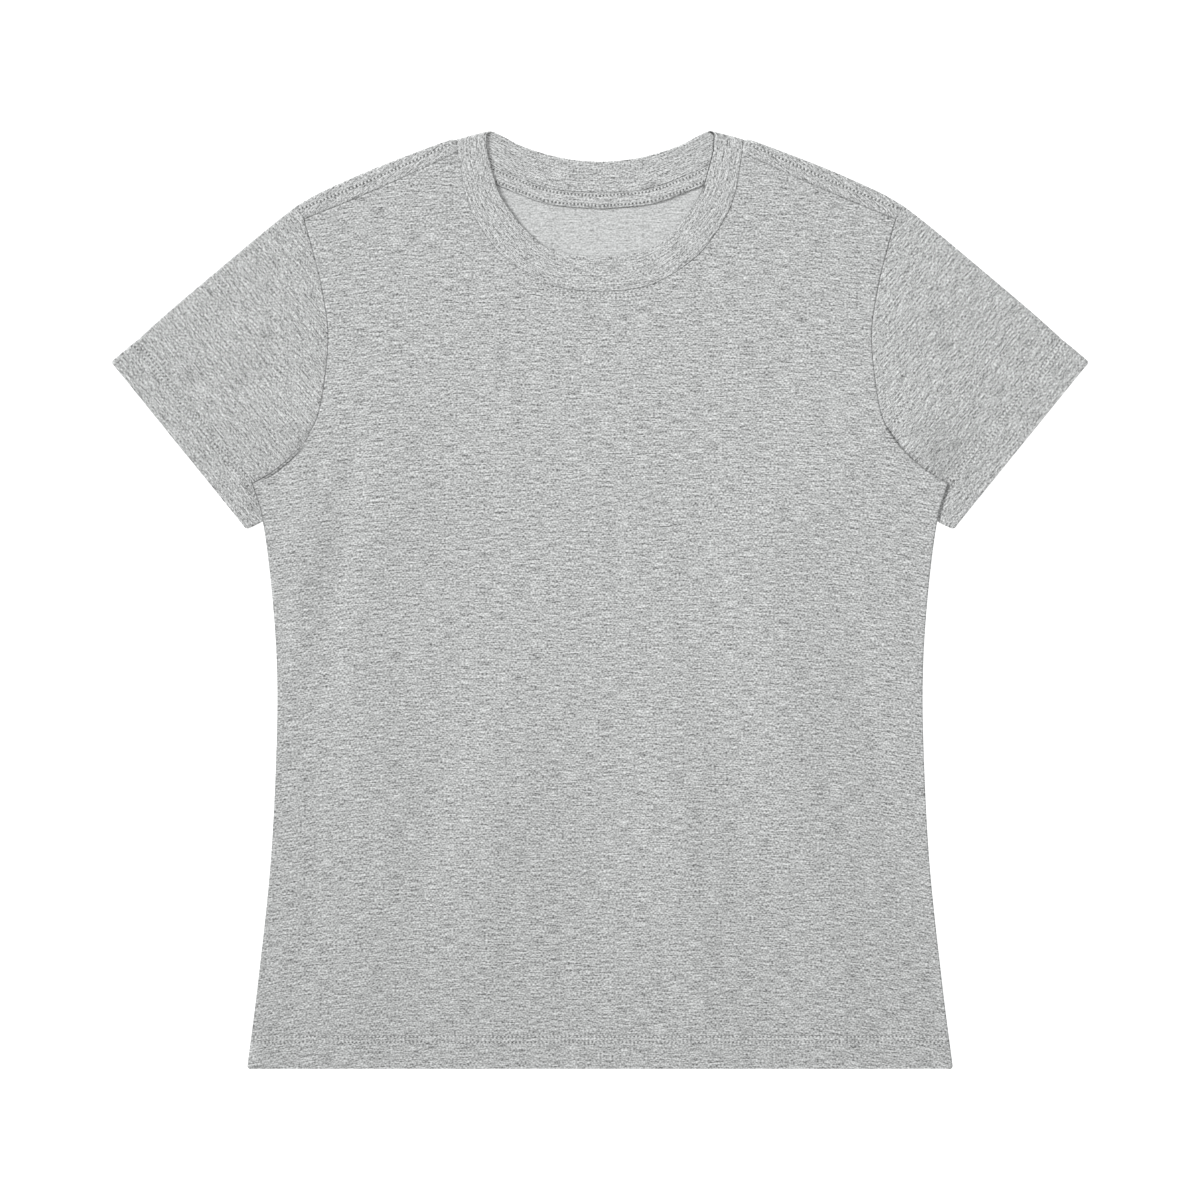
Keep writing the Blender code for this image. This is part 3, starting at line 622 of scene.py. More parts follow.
def shell(name, points, blocks, materials, seam, inner=WALL / 2, face=1):
    """Skins at points + normals * wall / 2 and points - normals * inner, and a rim that bulges by a
    share of the half wall. A block is one grid as (vertex numbers, cloth map, sewing map). seam is the
    first skin's painted shade, from seams and shaded edges. face is -1 where the blocks turn the other way."""
    blocks = [[grid[:, ::face] for grid in block] for block in blocks]
    quads = np.vstack([corners_of(block[0]) for block in blocks])
    maps = {label: np.vstack([corners_of(block[k]) for block in blocks])
            for k, label in ((1, "cloth"), (2, "sewing"))}
    count, normals = len(points), vertex_normals(points, quads)
    inner = np.broadcast_to(inner, (count,))[:, None]
    place, after = open_edges(quads)
    a, b = quads.ravel()[place], quads.ravel()[after]
    outward = np.zeros((count, 3))
    across = unit(np.cross(points[b] - points[a], normals[a] + normals[b]))
    np.add.at(outward, a, across)
    np.add.at(outward, b, across)
    edge = np.unique(a)
    place_on_edge = np.zeros(count, int)
    place_on_edge[edge] = np.arange(len(edge))
    levels = [points + normals * WALL / 2, points - normals * inner]
    rings = [np.stack([a, b])]
    for k in range(1, RIM_STEPS):
        turn = np.pi * k / RIM_STEPS
        depth = np.cos(turn) * np.where(np.cos(turn) > 0, WALL / 2, inner[edge])
        rings.append(sum(map(len, levels)) + place_on_edge[np.stack([a, b])])
        levels.append(points[edge] + normals[edge] * depth
                      + unit(outward[edge]) * np.sin(turn) * RIM_BULGE * WALL / 2)
    rings.append(np.stack([a, b]) + count)
    rim = [np.column_stack([upper[1], upper[0], lower[0], lower[1]])
           for upper, lower in zip(rings[:-1], rings[1:])]
    faces = np.vstack([quads, quads[:, ::-1] + count] + rim)
    for label, values in maps.items():
        at_rim = values.reshape(-1, 2)[np.column_stack([after, place, place, after])]
        maps[label] = np.vstack([values, values[:, ::-1]] + [at_rim] * RIM_STEPS)
    slots = np.zeros(len(faces), int)
    slots[len(quads):2 * len(quads)] = len(materials) - 1
    seam = np.ravel(seam)
    seam = np.concatenate([seam, 0 * seam] + [seam[edge]] * (RIM_STEPS - 1))
    piece = into_piece(name, np.vstack(levels), faces, maps, materials, slots, seam)
    print(f"{name}: {2 * len(faces)} triangles, {len(edge)} points round its open edges")
    return piece


# %% [markdown]
# ## Materials: heather jersey
# Heather yarn is spun from fibres of several greys, so its shade changes every few millimetres along
# the yarn. In a jersey each course of loops is one turn of that yarn, so the shades lie side by side
# as short streaks that are one course high. Noise that is stretched along the course gives just
# that. A little of the next course's shade is taken away again, which keeps the courses apart. The
# noise is made once, as a node group, and every piece of the shirt reads it through its own "cloth"
# map, so the streaks turn with the cut of the piece.

# %% Small helpers for nodes
def add_node(tree, kind, links=None, **settings):
    """A new node. Settings are its properties; links are its inputs, by name or number, and each is
    a socket to link from or a plain value."""
    node = tree.nodes.new(kind)
    for key, value in settings.items():
        setattr(node, key, value)
    for key, value in (links or {}).items():
        if isinstance(value, bpy.types.NodeSocket):
            tree.links.new(value, node.inputs[key])
        else:
            node.inputs[key].default_value = value
    return node


def compute(tree, operation, first, second=0.0, third=0.0):
    """The value of a Math node."""
    return add_node(tree, "ShaderNodeMath", {0: first, 1: second, 2: third},
                    operation=operation).outputs[0]


def new_group(name, inputs, outputs):
    """A shader node group. Inputs are {name: default}, a vector where the default is None."""
    tree = bpy.data.node_groups.new(name, "ShaderNodeTree")
    for label, default in inputs.items():
        kind = "NodeSocketVector" if default is None else "NodeSocketFloat"
        socket = tree.interface.new_socket(label, in_out="INPUT", socket_type=kind)
        if default is not None:
            socket.default_value = default
    for label in outputs:
        tree.interface.new_socket(label, in_out="OUTPUT", socket_type="NodeSocketFloat")
    return tree, tree.nodes.new("NodeGroupInput").outputs, tree.nodes.new("NodeGroupOutput").inputs


def stretched_noise(tree, vector, length, height, seed, shift=0.0):
    """Flat noise, less its mean, with patches of that length along the course and that height
    across it. shift moves it down."""
    place = add_node(tree, "ShaderNodeMapping", {
        "Vector": vector, "Location": (seed, seed + shift / height, 0.0),
        "Scale": (1.0 / length, 1.0 / height, 1.0)})
    noise = add_node(tree, "ShaderNodeTexNoise", {"Vector": place.outputs[0], "Scale": 1.0,
                                                  "Detail": 0.0}, noise_dimensions="2D")
    return compute(tree, "SUBTRACT", noise.outputs[0], 0.5)


def wobbled(tree, vector):
    """A map whose courses wave a little: each point moves by (noise - 0.5) * wobble."""
    noise = add_node(tree, "ShaderNodeTexNoise", {"Vector": vector, "Scale": 1.0 / WOBBLE_LENGTH,
                                                  "Detail": 0.0}, noise_dimensions="2D")
    middle = add_node(tree, "ShaderNodeVectorMath", {0: noise.outputs["Color"], 1: [0.5] * 3},
                      operation="SUBTRACT")
    return add_node(tree, "ShaderNodeVectorMath", {0: middle.outputs[0], 1: [WOBBLE] * 3, 2: vector},
                    operation="MULTIPLY_ADD").outputs[0]


# %% The heather group
WOBBLE_LENGTH, WOBBLE = 0.030, 0.0012
STREAKS = (                      # length, height, weight, seed
    (0.0125, 0.00095, 0.78, 3.1),
    (0.0036, 0.00090, 0.62, 17.7),
    (0.0014, 0.00085, 1.38, 29.2),
    (0.0120, 0.00400, 0.12, 41.3))
NEXT_COURSE, NEXT_SHARE = 0.00166, 0.16
FLECK_SIZE, FLECK_SEED, FLECK_FROM, FLECK_TO = (0.0040, 0.0011), 71.9, 0.16, 0.28
DARKEST, PALEST = 0.25, 1.75     # limits of the shade

heather, given, result = new_group("heather", {"Vector": None, "Contrast": 1.0, "Flecks": 0.0},
                                   ["Shade"])
shade, courses = 0.0, wobbled(heather, given["Vector"])
for length, height, weight, seed in STREAKS:
    for share, shift in ((1.0, 0.0), (-NEXT_SHARE, NEXT_COURSE)):
        patch = stretched_noise(heather, courses, length, height, seed, shift)
        shade = compute(heather, "MULTIPLY_ADD", patch, weight * share, shade)
dark = add_node(heather, "ShaderNodeMapRange",
                {"Value": stretched_noise(heather, courses, *FLECK_SIZE, FLECK_SEED),
                 "From Min": FLECK_FROM, "From Max": FLECK_TO},
                interpolation_type="SMOOTHSTEP").outputs[0]
shade = compute(heather, "MULTIPLY_ADD", shade, given["Contrast"], 1.0)
shade = compute(heather, "SUBTRACT", shade, compute(heather, "MULTIPLY", dark, given["Flecks"]))
shade = compute(heather, "MAXIMUM", shade, DARKEST)
heather.links.new(compute(heather, "MINIMUM", shade, PALEST), result["Shade"])

# %% [markdown]
# The knit itself is too fine to count from above, but it catches the light. On its right side jersey
# shows columns of small Vs. One wave across the course, pushed up and down by the distance from the
# middle of its column, draws them, and a ditch parts the columns: (2 * aside)^3. Needle holes are
# painted as small spots of shade at even steps along a row.

# %% The knit and the needle holes
WALE, COURSE = 0.00075, 0.00062  # width and height of one loop
LOOP_MIDDLE, LOOP_SWING, DITCH_POWER = 0.5, 0.25, 3.0
# Needle holes are painted shade: their size, their shape across the row, and how dark the spot is.
PIT_SIZE, PIT_SHAPE, PIT_SHADE = 0.0011, 0.7, 0.8
HEM_PITCH, NECK_PITCH, TAPE_PITCH, SHOULDER_PITCH = 0.0027, 0.0028, 0.0025, 0.0027

knit, given, result = new_group("knit_loops", {"Vector": None, "Wale": WALE, "Course": COURSE},
                                ["Height"])
split = add_node(knit, "ShaderNodeSeparateXYZ", {0: wobbled(knit, given["Vector"])}).outputs
column = compute(knit, "FRACT", compute(knit, "DIVIDE", split["X"], given["Wale"]))
aside = compute(knit, "ABSOLUTE", compute(knit, "SUBTRACT", column, 0.5))
wave = compute(knit, "ADD", compute(knit, "DIVIDE", split["Y"], given["Course"]), aside)
loops = compute(knit, "COSINE", compute(knit, "MULTIPLY", wave, 2 * np.pi))
ditch = compute(knit, "POWER", compute(knit, "MULTIPLY", aside, 2.0), DITCH_POWER)
loops = compute(knit, "MULTIPLY_ADD", loops, LOOP_SWING, LOOP_MIDDLE)
knit.links.new(compute(knit, "SUBTRACT", loops, ditch), result["Height"])

# The painted shade of needle holes: small dark spots at even steps along a row of the sewing map.
hole_shade, given, result = new_group("needle_row", {"Vector": None, "Row": 0.0, "Pitch": HEM_PITCH,
                                               "Size": PIT_SIZE, "Depth": PIT_SHADE,
                                               "Reach": 1.0}, ["Shade"])
split = add_node(hole_shade, "ShaderNodeSeparateXYZ", {0: given["Vector"]}).outputs
part = compute(hole_shade, "DIVIDE", split["X"], given["Pitch"])
along = compute(hole_shade, "MULTIPLY", compute(hole_shade, "SUBTRACT", part, compute(hole_shade, "ROUND", part)),
                given["Pitch"])
off_row = compute(hole_shade, "MULTIPLY", compute(hole_shade, "SUBTRACT", split["Y"], given["Row"]), PIT_SHAPE)
away = compute(hole_shade, "SQRT", compute(hole_shade, "ADD", compute(hole_shade, "MULTIPLY", along, along),
                                     compute(hole_shade, "MULTIPLY", off_row, off_row)))
hole = add_node(hole_shade, "ShaderNodeMapRange", {"Value": away, "From Min": given["Size"],
                                             "From Max": 0.0, "To Max": given["Depth"]},
                interpolation_type="SMOOTHSTEP").outputs[0]
near = compute(hole_shade, "LESS_THAN", compute(hole_shade, "ABSOLUTE", split["X"]), given["Reach"])
hole_shade.links.new(compute(hole_shade, "SUBTRACT", 1.0, compute(hole_shade, "MULTIPLY", hole, near)),
               result["Shade"])

# %% [markdown]
# A cloth material mixes these: the heather shade and the painted shade of the needle holes and of
# the seams darken the colour, and the knit stands in a Bump node. Roughness follows the shade a little,
# because the dark fibres are the smoother ones. A faint sheen stands for the nap. The inner side of the
# jersey is paler and calmer than its outer side, and shows single dark fibres.

# %% The cloth materials
TINT, SEAM_SHADE = (0.984, 1.0, 0.995), 0.62
CLOTH_CONSTANTS = {"Specular IOR Level": 0.25, "Sheen Weight": 0.15, "Sheen Roughness": 0.6}
ROUGHNESS, SHADE_ROUGHNESS = 0.82, 0.08      # the second is added times the shade
INSIDE_GREY, BODY_GREY, SLEEVE_GREY, BAND_GREY, TAPE_GREY = 0.572, 0.484, 0.480, 0.49, 0.51
CONTRAST, FLECKS, INSIDE_CONTRAST, INSIDE_FLECKS, TAPE_CONTRAST = 1.05, 0.15, 0.50, 0.28, 0.9
# How dark the painted shade of the needle holes is, on the hem, the neck and the cuffs.
HEM_HOLE_SHADE, NECK_HOLE_SHADE, CUFF_HOLE_SHADE = 0.42, 0.3, 0.4       # how dark the needle holes are
JERSEY_RELIEF, RIB_RELIEF, RIB_WALE = 0.00007, 0.00010, 0.0012
STRIP_OFFSET = 0.1               # keeps the shoulder strip's rows apart in its sewing map
NECK_REACH = 0.044               # how far out the neck's stitches show, along the seam
MIRRORS = (("left", 1), ("right", -1))


def cloth(name, grey, contrast, seed, flecks=FLECKS, rows=(), wale=WALE, relief=JERSEY_RELIEF):
    """A knitted material. Each of rows holds the settings of one row of needle holes."""
    material, tree, shader = new_material(name, CLOTH_CONSTANTS)

    def placed(group, **inputs):
        return add_node(tree, "ShaderNodeGroup", inputs, node_tree=group).outputs[0]

    flat = add_node(tree, "ShaderNodeUVMap", uv_map="cloth").outputs[0]
    sewing = add_node(tree, "ShaderNodeUVMap", uv_map="sewing").outputs[0]
    shifted = add_node(tree, "ShaderNodeMapping", {"Vector": flat, "Location": (seed, seed, 0.0)})
    shade = placed(heather, Vector=shifted.outputs[0], Contrast=contrast, Flecks=flecks)
    for row in rows:
        shade = compute(tree, "MULTIPLY", shade, placed(hole_shade, Vector=sewing, **row))
    # Painted shade from each point's seam value: along seams, along folded edges and under the arm.
    seam = add_node(tree, "ShaderNodeAttribute", attribute_name="seam").outputs["Fac"]
    shade = compute(tree, "MULTIPLY", shade, compute(tree, "MULTIPLY_ADD", seam, -SEAM_SHADE, 1.0))
    height = placed(knit, Vector=flat, Wale=wale, Course=COURSE)
    bump = add_node(tree, "ShaderNodeBump", {"Height": height, "Distance": relief, "Strength": 1.0})
    colour = add_node(tree, "ShaderNodeVectorMath", {0: [grey * part for part in TINT], 1: shade},
                      operation="MULTIPLY")
    tree.links.new(colour.outputs[0], shader.inputs["Base Color"])
    tree.links.new(compute(tree, "MULTIPLY_ADD", shade, SHADE_ROUGHNESS, ROUGHNESS),
                   shader.inputs["Roughness"])
    tree.links.new(bump.outputs[0], shader.inputs["Normal"])
    return material


def holes(places, pitch, **settings):
    """Settings for rows of needle holes."""
    return [dict(Row=place, Pitch=pitch, **settings) for place in places]


inside = cloth("jersey_inside", INSIDE_GREY, INSIDE_CONTRAST, 5.3, INSIDE_FLECKS)
front_jersey = cloth("jersey_front", BODY_GREY, CONTRAST, 0.0,
                     rows=holes(HEM_ROWS, HEM_PITCH, Depth=HEM_HOLE_SHADE)
                     + holes([-row for row in NECK_ROWS], NECK_PITCH, Depth=NECK_HOLE_SHADE,
                             Reach=NECK_REACH))
back_jersey = cloth("jersey_back", BODY_GREY, CONTRAST, 1.7,
                    rows=holes(HEM_ROWS, HEM_PITCH) + holes([-row for row in TAPE_ROWS], TAPE_PITCH)
                    + holes([-STRIP_OFFSET - SHOULDER_ROW], SHOULDER_PITCH))
sleeve_jersey = {mirror: cloth(f"jersey_sleeve_{label}", SLEEVE_GREY, CONTRAST, seed,
                               rows=holes(CUFF_ROWS, HEM_PITCH, Depth=CUFF_HOLE_SHADE))
                 for (label, mirror), seed in zip(MIRRORS, (2.9, 3.7))}
band_rib = cloth("rib_neckband", BAND_GREY, CONTRAST, 4.1, 0.0, wale=RIB_WALE, relief=RIB_RELIEF)
tape_jersey = cloth("jersey_tape", TAPE_GREY, CONTRAST * TAPE_CONTRAST, 6.1, 0.0,
                    rows=holes(TAPE_ROWS, TAPE_PITCH))
print(len(bpy.data.materials), "materials,", len(bpy.data.node_groups), "shared effects")

# %% [markdown]
# ## The front panel
# The body panels are the large pieces. Each is one grid between the hem, the two sides and the top
# edge, which runs along a shoulder, down the neck seam and up again. A Coons patch blends those four
# lines. The sides turn down to meet the other panel, so the last columns follow a small arc, and
# the rows lie closer at the hem and near the top, where the stitches and the seams are.

# %% Rows, columns and corners
HEM_STEPS = (0.0, 0.00015, 0.0004, 0.0008, 0.0014, 0.0021, 0.0045, 0.0075, 0.0105, 0.0135)
CLOSE_ROWS = (0.0165, 0.0249, 15)            # from, to and how many, up from a hem
TOP_STEPS = (0.0026, 0.0018, 0.0012, 0.0008, 0.0004, 0.0)    # down from the top edge
CORNER_RADIUS = 0.0021
ROLL_START, ROLL_STEPS = 0.0022, 8
ROLL_SHARE = ((0.0829, 0.1080, 0.1300), (1.0, 0.90, 0.0))   # up, and how far a side turns there
COURSE_DROP, DROP_FROM, DROP_OVER = 0.011, 0.10, 0.13       # courses sag towards the sides
HEM_EXTRA = 0.0003               # what the turned-up hem adds inside the wall


def hem_steps():
    """Rows of a hem: close at its corner and where its stitches lie."""
    return np.concatenate([HEM_STEPS, np.linspace(*CLOSE_ROWS)])


def stand_back(depth):
    """How far a rounded corner stands back, that deep into it: r - sqrt(r^2 - (r - depth)^2)."""
    rest = np.clip(CORNER_RADIUS - depth, 0.0, None)
    return CORNER_RADIUS - np.sqrt(CORNER_RADIUS ** 2 - rest ** 2)


def side_rows():
    """Points up the side from the hem to the underarm."""
    dense = through(SIDE, STEP / 4)
    start, top = CLOSE_ROWS[1], SIDE[-1][1] - HEM_LINE
    up = np.concatenate([hem_steps(), np.linspace(start, top, round((top - start) / STEP))[1:]])
    out = np.interp(up + HEM_LINE, dense[:, 1], dense[:, 0])
    return np.column_stack([out - stand_back(up), up + HEM_LINE])


def rows_to_top(line):
    """A line from the underarm to the top corner, divided closely near its end."""
    length = run_of(line)[-1]
    regular = np.arange(STEP, length - TOP_STEPS[0] - STEP / 2, STEP)
    return at_run(line, np.concatenate([regular, length - np.array(TOP_STEPS)]))


def top_line(shoulder, neck):
    """Columns along a top edge from -X to +X, and how many of them lie on one shoulder."""
    length = run_of(shoulder)[-1]
    run = np.linspace(ROLL_START, length, round(length / STEP) + 1)
    return mirrored(np.vstack([at_run(shoulder, run)[:-1], neck])), len(run)


def beside(line, distance):
    """A line moved to its left by a distance, away from the neck, ending on the middle."""
    edge = moved(line, -distance)
    edge[-1, 0] = 0.0
    return edge


def coons(side, top):
    """Plan of a panel, from its right side and its top edge. With u from -1 to 1 across and v the
    share of the way up, x = (1 - v) hem + v top + u (side - (1 - v) hem end - v top end), and
    y = side + v (top - top end). The hem's own rows stay level."""
    run = run_of(side)
    level = len(hem_steps()) - 1
    v = np.clip((run - run[level]) / (run[-1] - run[level]), 0.0, 1.0)[:, None]
    u = np.linspace(-1.0, 1.0, len(top))[None, :]
    hem_end = side[level, 0]
    x = ((1 - v) * hem_end * u + v * top[None, :, 0]
         + u * (side[:, :1] - (1 - v) * hem_end - v * top[-1, 0]))
    return np.stack([x, side[:, 1:] + v * (top[None, :, 1] - top[-1, 1])], axis=-1)


def roll_profile(radius, share):
    """How a side turns over: lengths in from the outline and drops, for a level run and then an
    arc of share * 90 degrees, with a column for each of ROLL_STEPS + 1 even steps."""
    angle = share * np.pi / 2
    level = ROLL_START - (radius + WALL / 2) * np.sin(angle)
    run = np.linspace(0.0, 1.0, ROLL_STEPS + 1) * (level + radius * angle)
    turned = np.clip((run - level) / radius, 0.0, angle)
    inward = ROLL_START - np.minimum(run, level) - radius * np.sin(turned)
    return inward, radius * (1 - np.cos(turned))


def panel_grid(side, top, face, height):
    """The middle of one panel's cloth, row by row. face is 1 on the front and -1 on the back."""
    outward = normals_of(side)
    outward[:len(hem_steps())] = (1.0, 0.0)
    outward[-1] = unit(top[-1] - top[-2])
    gap = front_base(*side.T) - BACK_MID - tuck_rise(*side.T) - SEAM_GAP
    inward, drop = roll_profile(gap[:, None] / 2, np.interp(side[:, 1], *ROLL_SHARE)[:, None])
    right = side[:, None] - outward[:, None] * inward[..., None]
    middle = coons(right[:, 0], top)[:, 1:-1]
    plan = np.concatenate([right[:, ::-1] * (-1, 1), middle, right], axis=1)
    z = height(plan[..., 0], plan[..., 1])
    z[:, :ROLL_STEPS + 1] -= face * drop[:, ::-1]
    z[:, -ROLL_STEPS - 1:] -= face * drop
    return lifted(plan, z)


# %% Maps of a panel
def course_map(plan):
    """Where a point lay when the piece was cut: the courses sag by drop ((out - from) / over)^2."""
    sag = COURSE_DROP * (np.clip(np.abs(plan[..., 0]) - DROP_FROM, 0.0, None) / DROP_OVER) ** 2
    return np.stack([plan[..., 0], plan[..., 1] + sag], axis=-1)


def neck_map(plan, neck):
    """(run, distance) from the neck seam, the distance negative and the run from the centre."""
    distance, run = nearest_on(neck, np.abs(plan[..., 0]), plan[..., 1])
    return np.stack([(run_of(neck)[-1] - run) * np.sign(plan[..., 0]), -distance], axis=-1)


def panel_blocks(grid, neck):
    """One grid as two blocks, so that its sewing map may start at the hem and at the neck."""
    numbers, cut = numbers_of(grid), course_map(grid)
    split = grid.shape[0] // 2
    from_hem = np.stack([grid[..., 0], grid[..., 1] - HEM_LINE], axis=-1)
    return [(numbers[:split + 1], cut[:split + 1], from_hem[:split + 1]),
            (numbers[split:], cut[split:], neck_map(grid[split:], neck))]


def hem_wall(points):
    """The wall's inner half, thicker within the turned-up hem."""
    return WALL / 2 + HEM_EXTRA * fading(points[:, 1] - HEM_LINE, *HEM_EASE)


# %% Make the front
shoulder = moved(shoulder_seam, -SEAM_GAP / 2)
side = np.vstack([side_rows(), rows_to_top(np.vstack([armhole[:-1], shoulder[:1]]))])
top, _ = top_line(shoulder, beside(front_neck, SEAM_GAP))
grid = panel_grid(side, top, 1, front_height)
points, seam = grid.reshape(-1, 3), front_seams(grid[..., 0], grid[..., 1])
# Painted shadow lines on the turned-down sides, where the body's sides lie on the sleeves.
rolled = smooth_step(np.linspace(0.0, 1.0, ROLL_STEPS + 1), *ROLL_SHADE)
for columns, line in zip((np.s_[ROLL_STEPS::-1], np.s_[-ROLL_STEPS - 1:]), SIDE_LINES):
    edge = np.interp(grid[:, :1, 1], SIDE_UP, line) * rolled
    seam[:, columns] = np.maximum(seam[:, columns], edge)
front_cloth = shell("front_cloth", points, panel_blocks(grid, front_neck), [front_jersey, inside],
                    seam, hem_wall(points))
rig.replaces(front_cloth, "front_panel")
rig.slot(front_cloth, "jersey")

# %% [markdown]
# ## The back panel
# The back is cut longer at the top: it turns over the shoulder fold and reaches the forward shoulder
# seam. So it is the same kind of grid, with a second grid on each shoulder that carries its top row
# round the fold. The cloth map unfolds that strip, which is why its streaks run up towards the neck.

# %% Over the shoulder
TURN_ANGLES = np.linspace(0.0, np.pi, 13)[1:, None, None]
STRIP_SHARES = np.array((0.15, 0.30, 0.42, 0.50, 0.58, 0.70, 0.80, 0.87, 0.92, 0.96, 1.0))
STRIP_SHARES = STRIP_SHARES[:, None, None]

fold_line = through(SHOULDER_FOLD)
seam_line = divided(shoulder_seam, len(fold_line) - 1)
fold_out = normals_of(fold_line)
turn_radius = (front_base(*seam_line.T) - BACK_MID) / 2
fold_centre = fold_line - fold_out * (turn_radius + WALL / 2)[:, None]
fold_centre[-1] = np.array(BAND_FOLD_SEAM) + SEAM_GAP * unit(fold_centre[-2] - fold_centre[-1])
strip_end = moved(seam_line, SEAM_GAP / 2)


def over_shoulder(row):
    """Rows that carry a row of points at positive x round the fold and on to the forward seam:
    plan = row + outward * radius * sin(turn), z = radius * (1 - cos(turn)), then a level strip.
    Returns the points, where they lay when cut, their sewing map and their closeness to a seam."""
    outward, radius, end = (rows_between(row[:, 0], fold_centre[::-1, 0], values[::-1])
                            for values in (fold_out, turn_radius[:, None], strip_end))
    width = np.linalg.norm(end - row, axis=1)[:, None]
    to_seam = (1 - STRIP_SHARES) * width
    plan = np.concatenate([row + outward * radius * np.sin(TURN_ANGLES),
                           row + (end - row) * STRIP_SHARES])
    near = np.interp(end[:, :1], *SHOULDER_LINE) * closeness(to_seam)
    z = BACK_MID + np.concatenate([radius * (1 - np.cos(TURN_ANGLES)),
                                   2 * radius - GROOVE_DEPTH * near
                                   + row_troughs(to_seam, (SHOULDER_ROW,))])
    cut = row + outward * np.concatenate([radius * TURN_ANGLES, radius * np.pi + width - to_seam])
    inset = np.concatenate([np.full((len(TURN_ANGLES), len(row), 1), STRIP_OFFSET), to_seam])
    run = nearest_on(seam_line, *end.T)[1][:, None] + 0 * inset
    at_arm = inset_from(armhole, *np.moveaxis(plan, -1, 0))
    return (np.concatenate([plan, z], axis=-1), cut,
            np.concatenate([run, -STRIP_OFFSET - inset], axis=-1),
            np.maximum(np.concatenate([0 * inset[:len(TURN_ANGLES)], near])[..., 0],
                       closeness(at_arm)))


# %% Make the back
side = np.vstack([side_rows(), rows_to_top(np.vstack([armhole, fold_centre[:1]]))])
top, on_shoulder = top_line(fold_centre, beside(back_neck, SEAM_GAP))
grid = panel_grid(side, top, -1, back_height)
numbers = numbers_of(grid)
points, blocks = [grid.reshape(-1, 3)], panel_blocks(grid, back_neck)
seams = [back_seams(grid[..., 0], grid[..., 1]).ravel()]
for mirror in (-1, 1):
    columns = np.arange(grid.shape[1])[:on_shoulder + ROLL_STEPS]
    columns = columns if mirror < 0 else columns + grid.shape[1] - len(columns)
    strip, cut, sewing, seam = over_shoulder(grid[-1, columns, :2] * (mirror, 1))
    added = numbers_of(strip, sum(map(len, points)))
    points.append((strip * (mirror, 1, 1)).reshape(-1, 3))
    seams.append(seam.ravel())
    blocks.append((np.vstack([numbers[-1:, columns], added]),
                   course_map(np.concatenate([grid[-1:, columns, :2], cut * (mirror, 1)])),
                   np.concatenate([sewing[:1], sewing])))
points = np.vstack(points)
back_cloth = shell("back_cloth", points, blocks, [back_jersey, inside], np.concatenate(seams),
                   hem_wall(points), face=-1)
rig.replaces(back_cloth, "back_panel")
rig.slot(back_cloth, "jersey")

# %% [markdown]
# ## The sleeves
# A sleeve is a tube, cut in one piece and sewn along the underarm. Pressed flat, it has a fold along
# the top and one at the underarm. Its rings run from the cuff to the armhole, and under the body
# they go on, hidden. Each ring starts at the underarm fold, so the place where the cloth map jumps
# is the place of the real seam.

# %% Rings of a flattened tube
SLEEVE_COLUMNS, SLEEVE_ROWS = 56, 46
ARM_STEPS = (0.016, 0.011, 0.0075, 0.0045, 0.002, 0.0)   # shares of a sleeve left before its end
TUBE_TURNS = 10
down_cuff = unit(np.subtract(CUFF_BOTTOM, CUFF_TOP))
into_body = np.array([down_cuff[1], -down_cuff[0]])
cuff_width = np.dot(np.subtract(CUFF_BOTTOM, CUFF_TOP), down_cuff)
tube_edge = (FRONT_MID - BACK_MID + WALL) / 2


def sleeve_plan():
    """Rows of points from the top fold to the underarm fold. Within the hem they are straight, and
    then they blend into the sleeve's end, which follows the armhole seam and runs on, hidden.
    Between the two the top fold curves out by bulge * (1 - (2 way - 1)^4) * (1 - share)^3."""
    down = armhole[::-1]
    seen = moved(np.vstack([fold_centre[:1], down[down[:, 1] > TUCK_START]]), -SEAM_GAP)
    hidden = np.vstack([seen[-1:], TUCK_END])
    hidden[-1] -= tube_edge * unit(hidden[-1] - hidden[-2])
    end = divided(np.vstack([seen, hidden[1:]]), SLEEVE_COLUMNS)
    depth = hem_steps()[:, None]
    first, last = (start + (goal - start) * depth / np.dot(goal - start, into_body)
                   for start, goal in ((CUFF_TOP + down_cuff * tube_edge, end[0]),
                                       (CUFF_BOTTOM - down_cuff * tube_edge, end[-1])))
    first, last = first + down_cuff * stand_back(depth), last - down_cuff * stand_back(depth)
    share = np.linspace(0.0, 1.0, SLEEVE_COLUMNS + 1)[None, :, None]
    straight = first[:, None] + (last - first)[:, None] * share
    way = np.concatenate([np.linspace(0.0, 1.0 - ARM_STEPS[0], SLEEVE_ROWS)[1:-1],
                          1.0 - np.array(ARM_STEPS)])[:, None, None]
    bulge = TOP_BULGE * (1 - (2 * way - 1) ** 4) * (1 - share) ** 3
    return np.concatenate([straight, straight[-1] * (1 - way) + end * way - bulge * down_cuff])


